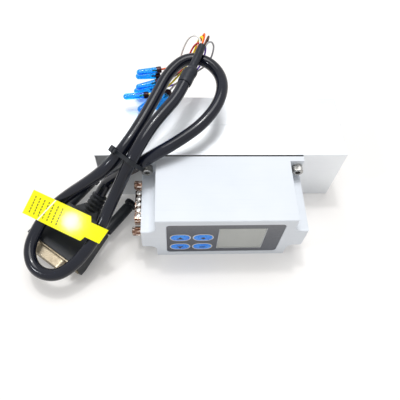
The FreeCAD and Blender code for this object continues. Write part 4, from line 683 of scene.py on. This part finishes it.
def cap_rings(open_end, into):
    """A hollow cap along its axis: from the bore's round end back along the bore, over the
    rim, along the collar and the outside and round the nose. Both round ends are quarter
    circles turned about the axis."""
    quarter = np.linspace(0, np.pi / 2, 9)
    inner = [(CAP_STRAIGHT + CAP_BORE * math.cos(a), CAP_BORE * math.sin(a)) for a in quarter]
    inner += [(9.0, 1.68), (4.0, 1.72), (0.25, 1.8)]
    outer = [(0.0, 1.95), (0.12, 2.02), (3.4, 2.02), (3.8, CAP_RADIUS), (9.5, CAP_RADIUS)]
    outer += [(CAP_STRAIGHT + CAP_RADIUS * math.sin(a), CAP_RADIUS * math.cos(a))
              for a in quarter]
    return spun(inner + outer, open_end, into, 32)


def ferrule_rings(open_end, into):
    """A ferrule about the cap's axis: a band round the cap's collar, turned in over the rim
    and run into the mouth close round the core."""
    band = [(3.2, 2.03), (3.2, 2.1), (3.0, 2.16), (0.5, 2.16), (0.2, 2.1), (0.02, 1.9)]
    plug = [(0.02, 0.7), (3.8, 0.7), (3.8, 1.5)]
    return spun(band + plug, open_end, into, 32)


def make_cores():
    """Each core's spline, straight out of the sleeve and straight into its cap, with the
    cap and the dark ferrule in the cap's mouth."""
    offsets = core_offsets()
    for colour, place, length, fold, open_end, tip in CORES:
        offset = offsets[place]
        open_end = np.array(open_end)
        into = unit(np.array(tip) - open_end)
        route = [CABLE_END + offset, CABLE_END + (SLEEVE_MOUTH - CABLE_END) * 0.5 + offset,
                 SLEEVE_MOUTH + offset + SLEEVE_WAY * 1.8]
        route += [np.array(point) for point in fold]
        route += [open_end - into * 7, open_end + into * 5.9]
        wire = cord("wire_" + colour, route, WIRE_RADIUS, "core_" + colour, "core_" + colour)
        cap = make_skins("cap_" + colour, [cap_rings(open_end, into)], "clear_blue_cap",
                         ("core_caps",))
        ferrule = make_skins("ferrule_" + colour, [ferrule_rings(open_end, into)],
                             "clear_blue_cap", ("core_caps",), finish=ferrule_finish)


make_cores()


def make_large_sleeve():
    """The large sleeve as a skin round a path with changing radius: it grips the last 7.5 mm
    of the cable, bulges a little to one side and draws in to the small sleeve. Three soft
    folds run along it, deeper towards the small end."""
    near = lead_line[-40:]
    run = np.concatenate([[0], np.cumsum(np.linalg.norm(np.diff(near, axis=0), axis=1))])
    stations = np.linspace(run[-1] - 7.5, run[-1] - 0.3, 9)
    gripped = np.stack([np.interp(stations, run, near[:, k]) for k in range(3)], -1)
    beyond = CABLE_END + np.linspace(0.4, 5.6, 9)[:, None] * SLEEVE_WAY
    bulge = 0.7 * np.sin(np.linspace(0.1, 1.0, 9) * np.pi)[:, None] * SLEEVE_SIDE
    path = np.vstack([gripped, beyond + bulge])
    radii = np.array([4.2, 4.38, 4.42, 4.4, 4.36, 4.42, 4.38, 4.4, 4.38,
                      4.36, 4.34, 4.3, 4.18, 3.95, 3.6, 3.2, 2.9, 2.72])
    turn = angles(40)
    folds = 0.06 * np.sin(3 * turn)[None, :] * np.linspace(0.2, 1.6, len(radii))[:, None]
    return make_skins("large_sleeve_skin", [swept(path, radii[:, None] + folds, 40)],
                      "sleeve_black", ("large_sleeve",), sharp=60)


def make_small_sleeve():
    """The small sleeve as a skin round a path that waves to one side: it thins towards its
    open mouth, with slight rings, and turns back inside along its bore."""
    share = np.linspace(0, 1, 30)
    path = CABLE_END + (1.0 + share * (SLEEVE_REACH - 1.0))[:, None] * SLEEVE_WAY
    path = path + (0.5 * np.sin(share * np.pi) * (1 - share))[:, None] * SLEEVE_SIDE
    radii = 2.6 - 0.16 * share ** 3 + 0.05 * np.sin(share * 26)
    outside = swept(path, radii, 32)
    inside = swept(path, np.full(30, SLEEVE_BORE), 32)[::-1][:12]
    return make_skins("small_sleeve_skin", [np.concatenate([outside, inside])],
                      "sleeve_black", ("small_sleeve",), sharp=50)


large_sleeve = make_large_sleeve()
small_sleeve = make_small_sleeve()


# The lead's connector

def from_lead(points):
    """Points given as distance back from the connector's front, to its left, and up."""
    u, v, z = np.moveaxis(np.asarray(points, float), -1, 0)
    x = LEAD_CORNER[0] + u * math.cos(LEAD_ANGLE) - v * math.sin(LEAD_ANGLE)
    y = LEAD_CORNER[1] + u * math.sin(LEAD_ANGLE) + v * math.cos(LEAD_ANGLE)
    return np.stack([x, y, z], -1)


def hood_ring(u, half, panel, low, shelf, top):
    """One section of the hood: flat below, a shelf along each side and a raised panel."""
    side = np.array([(half - 1, low), (half, low + 1), (half, shelf - 1.4),
                     (half - 1.4, shelf), (panel + 0.7, shelf), (panel, top)])
    ring = np.vstack([side, side[::-1] * (-1, 1)])
    return np.column_stack([np.full(len(ring), u), ring])


def relief_profile():
    """The strain relief along its axis: a taper from 6.2 to 4.9 mm in radius over 16 mm,
    with four square grooves 1.33 mm wide and 0.9 mm deep whose edges are cut."""
    wide, taper = 6.2, 1.3 / 16
    profile = [(0.0, wide)]
    for start in 3.84 + 3.04 * np.arange(4):
        stop = start + 1.33
        outer, inner = wide - taper * start, wide - taper * stop
        profile += [(start - 0.18, outer), (start, outer - 0.18), (start + 0.05, outer - 0.9),
                    (stop - 0.05, inner - 0.9), (stop, inner - 0.18), (stop + 0.18, inner)]
    return profile + [(15.8, 4.9), (16.0, 4.7), (16.0, 3.8)]


def make_hood():
    """The hood lofted through its sections, and the strain relief, which leans up from the
    hood's neck."""
    rings = [hood_ring(*section) for section in (
        (0.0, 21.7, 16.4, 0.0, 13.7, 15.5), (4.0, 21.7, 16.2, 0.0, 13.7, 15.5),
        (5.2, 21.5, 15.6, 0.0, 13.3, 15.0), (30.9, 17.7, 12.3, 0.0, 13.3, 15.0),
        (30.9, 11.5, 9.2, 0.7, 12.9, 14.3), (37.9, 7.5, 5.4, 1.2, 12.2, 13.6))]
    axis = (math.cos(RELIEF_TILT), 0, math.sin(RELIEF_TILT))
    relief = spun(relief_profile(), (33.5, 0, LEAD_AXIS_Z), axis, 48)
    return soften(make_skins("hood_moulding", [from_lead(rings), from_lead(relief)],
                             "black_plastic", ("lead_hood",)), 0.35, 2)


def make_thumbscrews():
    """Two long knobs: a smooth barrel, a neck and a knurled rim hollowed at its end, and the
    threaded tip in front of the hood, as rings about each screw's axis."""
    sides = 108
    rim = knurl(4.5, 0.5, 18, sides)
    knob = [(31.1, 1.4), (31.1, 3.4), (31.4, 3.7), (53.4, 3.7), (53.8, 3.3), (54.6, 3.3),
            (55.0, rim - 0.35), (55.3, rim), (57.6, rim), (58.0, rim - 0.4), (58.05, 2.6),
            (57.2, 2.4)]
    thread = [(-4.0, 0.9), (-3.6, 1.4)]
    for start in np.arange(-3.4, -0.4, 0.6):
        thread += [(start, 1.4), (start + 0.15, 1.15), (start + 0.3, 1.4)]
    thread += [(0.0, 1.4), (31.2, 1.4)]
    return make_skins("thumbscrew_knobs", [
        from_lead(spun(profile, (0, v, LEAD_AXIS_Z), (1, 0, 0), count))
        for v in (-JACK_STEP, JACK_STEP) for profile, count in ((knob, sides), (thread, 24))],
        "black_plastic", ("lead_thumbscrews",))


hood = make_hood()
thumbscrews = make_thumbscrews()


# Tie and label

def tie_bar(start, finish, run, wide, high):
    """A bar between two points, wide along run, with its long edges and its ends cut: four
    rings of eight points."""
    reach = finish - start
    length = np.linalg.norm(reach)
    ahead = unit(reach)
    rise = np.cross(ahead, run)
    ring = np.array([(1, 0.6), (0.8, 1), (-0.8, 1), (-1, 0.6), (-1, -0.6), (-0.8, -1),
                     (0.8, -1), (1, -0.6)])
    return np.array([start + ahead * share * length
                     + (ring[:, :1] * run * wide + ring[:, 1:] * rise * high) * scale
                     for share, scale in ((0, 0.8), (0.06, 1), (0.94, 1), (1, 0.8))])


def make_tie():
    """A flat tie round the strands. Its inside is the hull of the strands' circles: in each
    direction, the furthest strand's middle plus the cable's radius and 0.35 mm. The section
    is a rounded rectangle, and the head and tail sit at the top left."""
    run = unit(TIE_RUN)
    across = unit(np.cross(run, (0, 0, 1.0)))
    up = np.cross(across, run)
    middle = np.array(TIE_PLACE)
    height = (lead_line - TIE_PLACE) @ run
    crossing = np.nonzero(height[:-1] * height[1:] <= 0)[0]
    share = (height[crossing] / (height[crossing] - height[crossing + 1]))[:, None]
    strands = lead_line[crossing] + (lead_line[crossing + 1] - lead_line[crossing]) * share
    flat = np.stack([(strands - TIE_PLACE) @ across, (strands - TIE_PLACE) @ up], -1)
    flat = flat[np.linalg.norm(flat, axis=1) < TIE_REACH]
    turn = angles(120)
    out = np.stack([np.cos(turn), np.sin(turn)], -1)
    furthest = np.argmax(out @ flat.T, axis=1)
    base = flat[furthest] + out * (CABLE_RADIUS + 0.35)
    section = np.array([(0.0, -1.1), (0.0, 1.1), (0.2, 1.3), (0.7, 1.3), (0.9, 1.1),
                        (0.9, -1.1), (0.7, -1.3), (0.2, -1.3)])
    flat_rings = base[:, None] + out[:, None] * section[None, :, :1]
    rings = (middle + flat_rings[..., :1] * across + flat_rings[..., 1:] * up
             + section[None, :, 1:] * run)
    points, faces = rings.reshape(-1, 3), net(*rings.shape[:2], wrap_rows=True)
    corner = np.argmax(base @ (-0.6, 1.0))
    outward = out[corner][0] * across + out[corner][1] * up
    sideways = np.cross(run, outward)
    seat = middle + base[corner][0] * across + base[corner][1] * up + outward * 0.2
    head = tie_bar(seat + outward * 0.9 - sideways * 2.1, seat + outward * 0.9 + sideways * 2.1,
                   run, 2.0, 1.35)
    tail_start = seat + outward * 1.1 + sideways * 1.8
    tail = tie_bar(tail_start, tail_start + sideways * 3.4 + outward * 1.0, run, 1.25, 0.45)
    more, added = together([head, tail])
    added = [[index + len(points) for index in face] for face in added]
    return make("tie_band", np.vstack([points, more]), faces + added, "black_plastic",
                ("cable_tie",))


def make_label():
    """The flag label as rings along it, each a thin strip out along its upper face and back
    along its lower one: a wide part and a narrow end. Half a sine wave arches it, a square
    term lifts its first 14 mm, its long edges droop a little, and both ends are slanted."""
    along = unit(LABEL_ALONG)
    normal = unit(np.cross(along, LABEL_ACROSS))
    across = np.cross(normal, along)
    stations = np.concatenate([np.linspace(0, LABEL_STEP - 0.8, 40), [LABEL_STEP],
                               np.linspace(LABEL_STEP + 0.8, LABEL_LENGTH, 12)])
    half = np.where(stations < LABEL_STEP - 0.1, LABEL_HALF, LABEL_END_HALF)
    half = np.where(np.abs(stations - LABEL_STEP) < 0.1, 6.6, half)
    share = np.concatenate([np.linspace(-1, 1, 17), np.linspace(1, -1, 17)])
    face = np.concatenate([np.full(17, LABEL_THICKNESS), np.zeros(17)])
    tilt = np.where(stations < 5, 1 - stations / 5, 0)[:, None]
    u = stations[:, None] + tilt * (1.3 + 0.4 * share)
    u = u + np.where(stations > 52, (stations - 52) / 4.8, 0)[:, None] * share
    v = half[:, None] * share
    arch = 1.1 * np.sin(np.pi * u / LABEL_LENGTH) + 0.5 * np.clip(1 - u / 14, 0, None) ** 2
    droop = np.sin(np.pi * np.clip(u, 0, LABEL_LENGTH) / LABEL_LENGTH) ** 0.5
    arch = arch - 0.12 * (v / LABEL_HALF) ** 2 * droop + 0.35
    height = arch + face[None, :]
    rings = (np.array(LABEL_PLACE) + u[..., None] * along + v[..., None] * across
             + height[..., None] * normal)
    sheet = np.stack([u / LABEL_LENGTH, v / (2 * LABEL_HALF) + 0.5], -1)
    ends = [sheet[0].mean(0), sheet[-1].mean(0)]
    sheet = np.vstack([sheet.reshape(-1, 2), *ends])
    return make_skins("label_flag", [rings], "yellow_label", ("flag_label",), sharp=50,
                      merge=False, sheet=sheet)


tie = make_tie()
label = make_label()


# The meter's own small parts

def oval(length, height, sides=24):
    """Outline of an oval key: two half circles joined by straight sides."""
    radius = height / 2
    half = length / 2 - radius
    turn = np.linspace(-np.pi / 2, np.pi / 2, sides // 2)
    right = np.stack([half + radius * np.cos(turn), radius * np.sin(turn)], -1)
    return np.vstack([right, -right])


def key_centres():
    """Upper left, upper right, lower left and lower right key, as X and Z."""
    return [(KEYS_MIDDLE[0] + x * KEY_STEPS[0], MID_Z + KEYS_MIDDLE[1] + z * KEY_STEPS[1])
            for z in (1, -1) for x in (-1, 1)]


def upright(outline, x, z, y):
    """An outline in X and Z about a middle, set up at one depth."""
    return np.column_stack([x + outline[:, 0], np.full(len(outline), y), z + outline[:, 1]])


def make_keys():
    """Each key is a low dome over its oval: height falls with the fourth power of the share
    of the way to the edge. A pale printed rim lies round it, as a closed band."""
    domes, rims = [], []
    shares = np.concatenate([np.linspace(0.05, 0.9, 7), [0.96, 1.0]])
    for x, z in key_centres():
        rings = [upright(oval(KEY_LENGTH - KEY_HEIGHT * (1 - share), KEY_HEIGHT * share), x, z,
                         FILM_Y - (0.42 * (1 - share ** 4) + 0.06)) for share in shares]
        rings.append(upright(oval(KEY_LENGTH, KEY_HEIGHT), x, z, FILM_Y))
        domes.append(rings)
        rims.append([upright(oval(KEY_LENGTH + 2 * extra, KEY_HEIGHT + 2 * extra), x, z,
                             FILM_Y - lift)
                     for extra, lift in ((0.1, 0.0), (0.1, 0.07), (0.65, 0.07), (0.75, 0.0))])
    make_skins("key_domes", domes, "blue_key", ("key_pads",), sharp=40)
    count, rows, columns, _ = np.shape(rims)
    faces = [face for index in range(count)
             for face in net(rows, columns, wrap_rows=True, first=index * rows * columns)]
    make("key_rims", np.reshape(rims, (-1, 3)), faces, "blue_key", finish=rim_finish)


def make_key_marks():
    """A plain raised mark on each key: triangles up and down on the left, a dot and a bar
    on the right. Each is its outline at two depths."""
    turn = angles(24)
    up = np.array([(-2.1, -1.2), (2.1, -1.2), (0.0, 1.7)])
    dot = np.stack([np.cos(turn), np.sin(turn)], -1) * 1.25
    bar = np.array([(-1.9, -0.5), (1.9, -0.5), (1.9, 0.5), (-1.9, 0.5)])
    make_skins("key_marks", [
        [upright(outline, x, z, y) for y in (FILM_Y - 0.4, FILM_Y - 0.52)]
        for (x, z), outline in zip(key_centres(), (up, dot, up * (1, -1), bar))],
        "blue_key", finish=mark_finish)


def make_display_face():
    """The display's face brought up behind the clear window, as a plate whose outline is
    the display's own."""
    low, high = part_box("display_glass")
    left, _, bottom = np.array(low) / MM
    right, back, top = np.array(high) / MM
    corners = np.array([(left, bottom), (right, bottom), (right, top), (left, top)])
    make_skins("display_face",
               [[upright(corners, 0, 0, y) for y in (FILM_Y + FACE_DEPTH, back)]],
               "display_glass", ("display_glass",))


def make_shell_bumps():
    """Pressed bumps along both long sides of the connector's shell: a quarter of an ellipse
    turned about each bump's axis."""
    bend = np.linspace(np.pi / 2, 0.15, 7)
    profile = [(-0.2, 1.8)] + [(0.9 * math.cos(a), 1.8 * math.sin(a)) for a in bend]
    make_skins("shell_bumps", [
        spun(profile, (BUMP_X, CONNECTOR_Y + step * BUMP_STEP, MID_Z + way * SHELL_HALF),
             (0, 0, way), 24) for way in (1, -1) for step in range(-2, 3)],
        "nickel", finish=bump_finish, sharp=50)


def make_jack_screws():
    """Hexagonal posts with chamfered ends and a hole, on a shank through the wall. The
    chamfer is the smaller of the hexagon and a cone."""
    six = hexagon(5.0)
    profile = [(-5.7, 1.4), (0.0, 1.4), (0.0, 2.45), (0.4, np.minimum(six, 2.72)),
               (0.7, six), (5.2, six), (5.5, np.minimum(six, 2.7)),
               (5.8, np.minimum(six, 2.35)), (5.8, 1.6), (5.5, 1.4), (1.0, 1.4)]
    make_skins("jack_posts", [
        spun(profile, (JACK_X, CONNECTOR_Y + sign * JACK_STEP, MID_Z), (-1, 0, 0))
        for sign in (-1, 1)], "nickel", ("jack_screws",), sharp=28)


def make_cap_screws():
    """Socket cap screws: a knurled head with a rounded top and a hexagonal socket, on a
    plain shank."""
    sides = 144
    side_ring = knurl(3.5, 0.18, 36, sides)
    six = hexagon(3.0, sides)
    profile = [(0.0, 1.95), (13.4, 1.95), (13.5, 3.3), (13.6, side_ring - 0.05),
               (16.6, side_ring - 0.05), (17.1, 3.3), (17.4, 2.9), (17.4, six + 0.25),
               (17.2, six), (15.4, six), (15.2, six * 0.3)]
    make_skins("cap_screws", [
        spun(profile, (x * SCREW_STEPS[0], SCREW_SEAT_Y, MID_Z + z * SCREW_STEPS[1]),
             (0, -1, 0), sides) for x in (-1, 1) for z in (-1, 1)],
        "steel", ("housing_screws",), sharp=35)


make_keys()
make_key_marks()
make_display_face()
make_shell_bumps()
make_jack_screws()
make_cap_screws()


# Floor and light

def seen_rays(tree):
    """1 for a ray from the camera, off a mirror or through glass, and 0 for any other."""
    rays = tree.nodes.new("ShaderNodeLightPath")
    either = rays.outputs["Is Camera Ray"]
    for kind in ("Is Glossy Ray", "Is Transmission Ray"):
        larger = tree.nodes.new("ShaderNodeMath")
        larger.operation = "MAXIMUM"
        tree.links.new(either, larger.inputs[0])
        tree.links.new(rays.outputs[kind], larger.inputs[1])
        either = larger.outputs[0]
    return either


def blend_shaders(tree, share, first, second, end):
    """Two shaders mixed by a share, into an output node of the given kind."""
    mix = tree.nodes.new("ShaderNodeMixShader")
    for socket, value in zip(mix.inputs, (share, first.outputs[0], second.outputs[0])):
        tree.links.new(value, socket)
    tree.links.new(mix.outputs[0], tree.nodes.new(end).inputs[0])


def make_floor():
    """A wide pale matt floor. A ray that shows it sees a share of 0.15 plain white in it,
    so that it is near white and keeps the shadows."""
    mesh = bpy.data.meshes.new("floor")
    mesh.from_pydata([(-3, -3, -5e-5), (3, -3, -5e-5), (3, 3, -5e-5), (-3, 3, -5e-5)], [],
                     [(0, 1, 2, 3)])
    floor = put_in_scene("floor", mesh)
    paint = bpy.data.materials.new("floor_white")
    paint.use_nodes = True
    tree = paint.node_tree
    tree.nodes.clear()
    matt = tree.nodes.new("ShaderNodeBsdfDiffuse")
    matt.inputs["Color"].default_value = (0.975, 0.955, 0.935, 1)
    glow = tree.nodes.new("ShaderNodeEmission")
    glow.inputs["Strength"].default_value = 1.0
    part_white = tree.nodes.new("ShaderNodeMath")
    part_white.operation = "MULTIPLY"
    part_white.inputs[1].default_value = 0.15
    tree.links.new(seen_rays(tree), part_white.inputs[0])
    blend_shaders(tree, part_white.outputs[0], matt, glow, "ShaderNodeOutputMaterial")
    mesh.materials.append(paint)


def make_world(strength):
    """Even pale light all round, and plain white wherever it is seen or mirrored."""
    world = bpy.data.worlds.new("studio")
    bpy.context.scene.world = world
    world.use_nodes = True
    tree = world.node_tree
    tree.nodes.clear()
    soft = tree.nodes.new("ShaderNodeBackground")
    soft.inputs["Color"].default_value = (1.0, 0.99, 0.975, 1)
    soft.inputs["Strength"].default_value = strength
    white = tree.nodes.new("ShaderNodeBackground")
    white.inputs["Color"].default_value = (1, 1, 1, 1)
    white.inputs["Strength"].default_value = 1.0
    blend_shaders(tree, seen_rays(tree), soft, white, "ShaderNodeOutputWorld")


def make_lamp(name, place, aim, size, power, colour):
    """A round soft lamp at a point, turned to another. Both points and its size are in
    metres, its power in watts."""
    light = bpy.data.lights.new(name, "AREA")
    light.shape = "DISK"
    light.size = size
    light.energy = power
    light.color = colour
    lamp = put_in_scene(name, light)
    place, aim = Vector(place), Vector(aim)
    lamp.matrix_world = Matrix.Translation(place) @ (aim - place).to_track_quat(
        "-Z", "Y").to_matrix().to_4x4()


make_floor()
make_world(0.49)
make_lamp("soft_lamp", (-0.02, 0.3, 1.33), (-0.02, 0.0, 0.03), 0.85, 8.4, (1.0, 1.0, 1.0))
make_lamp("small_lamp", (-0.1, 0.31, 1.31), (-0.02, 0.0, 0.03), 0.12, 3.3, (1.0, 1.0, 1.0))
make_lamp("left_lamp", (-0.89, -0.29, 0.906), (-0.05, -0.02, 0.03), 0.14, 2.3,
          (0.93, 0.96, 1.0))

bpy.context.scene.view_settings.view_transform = "Standard"
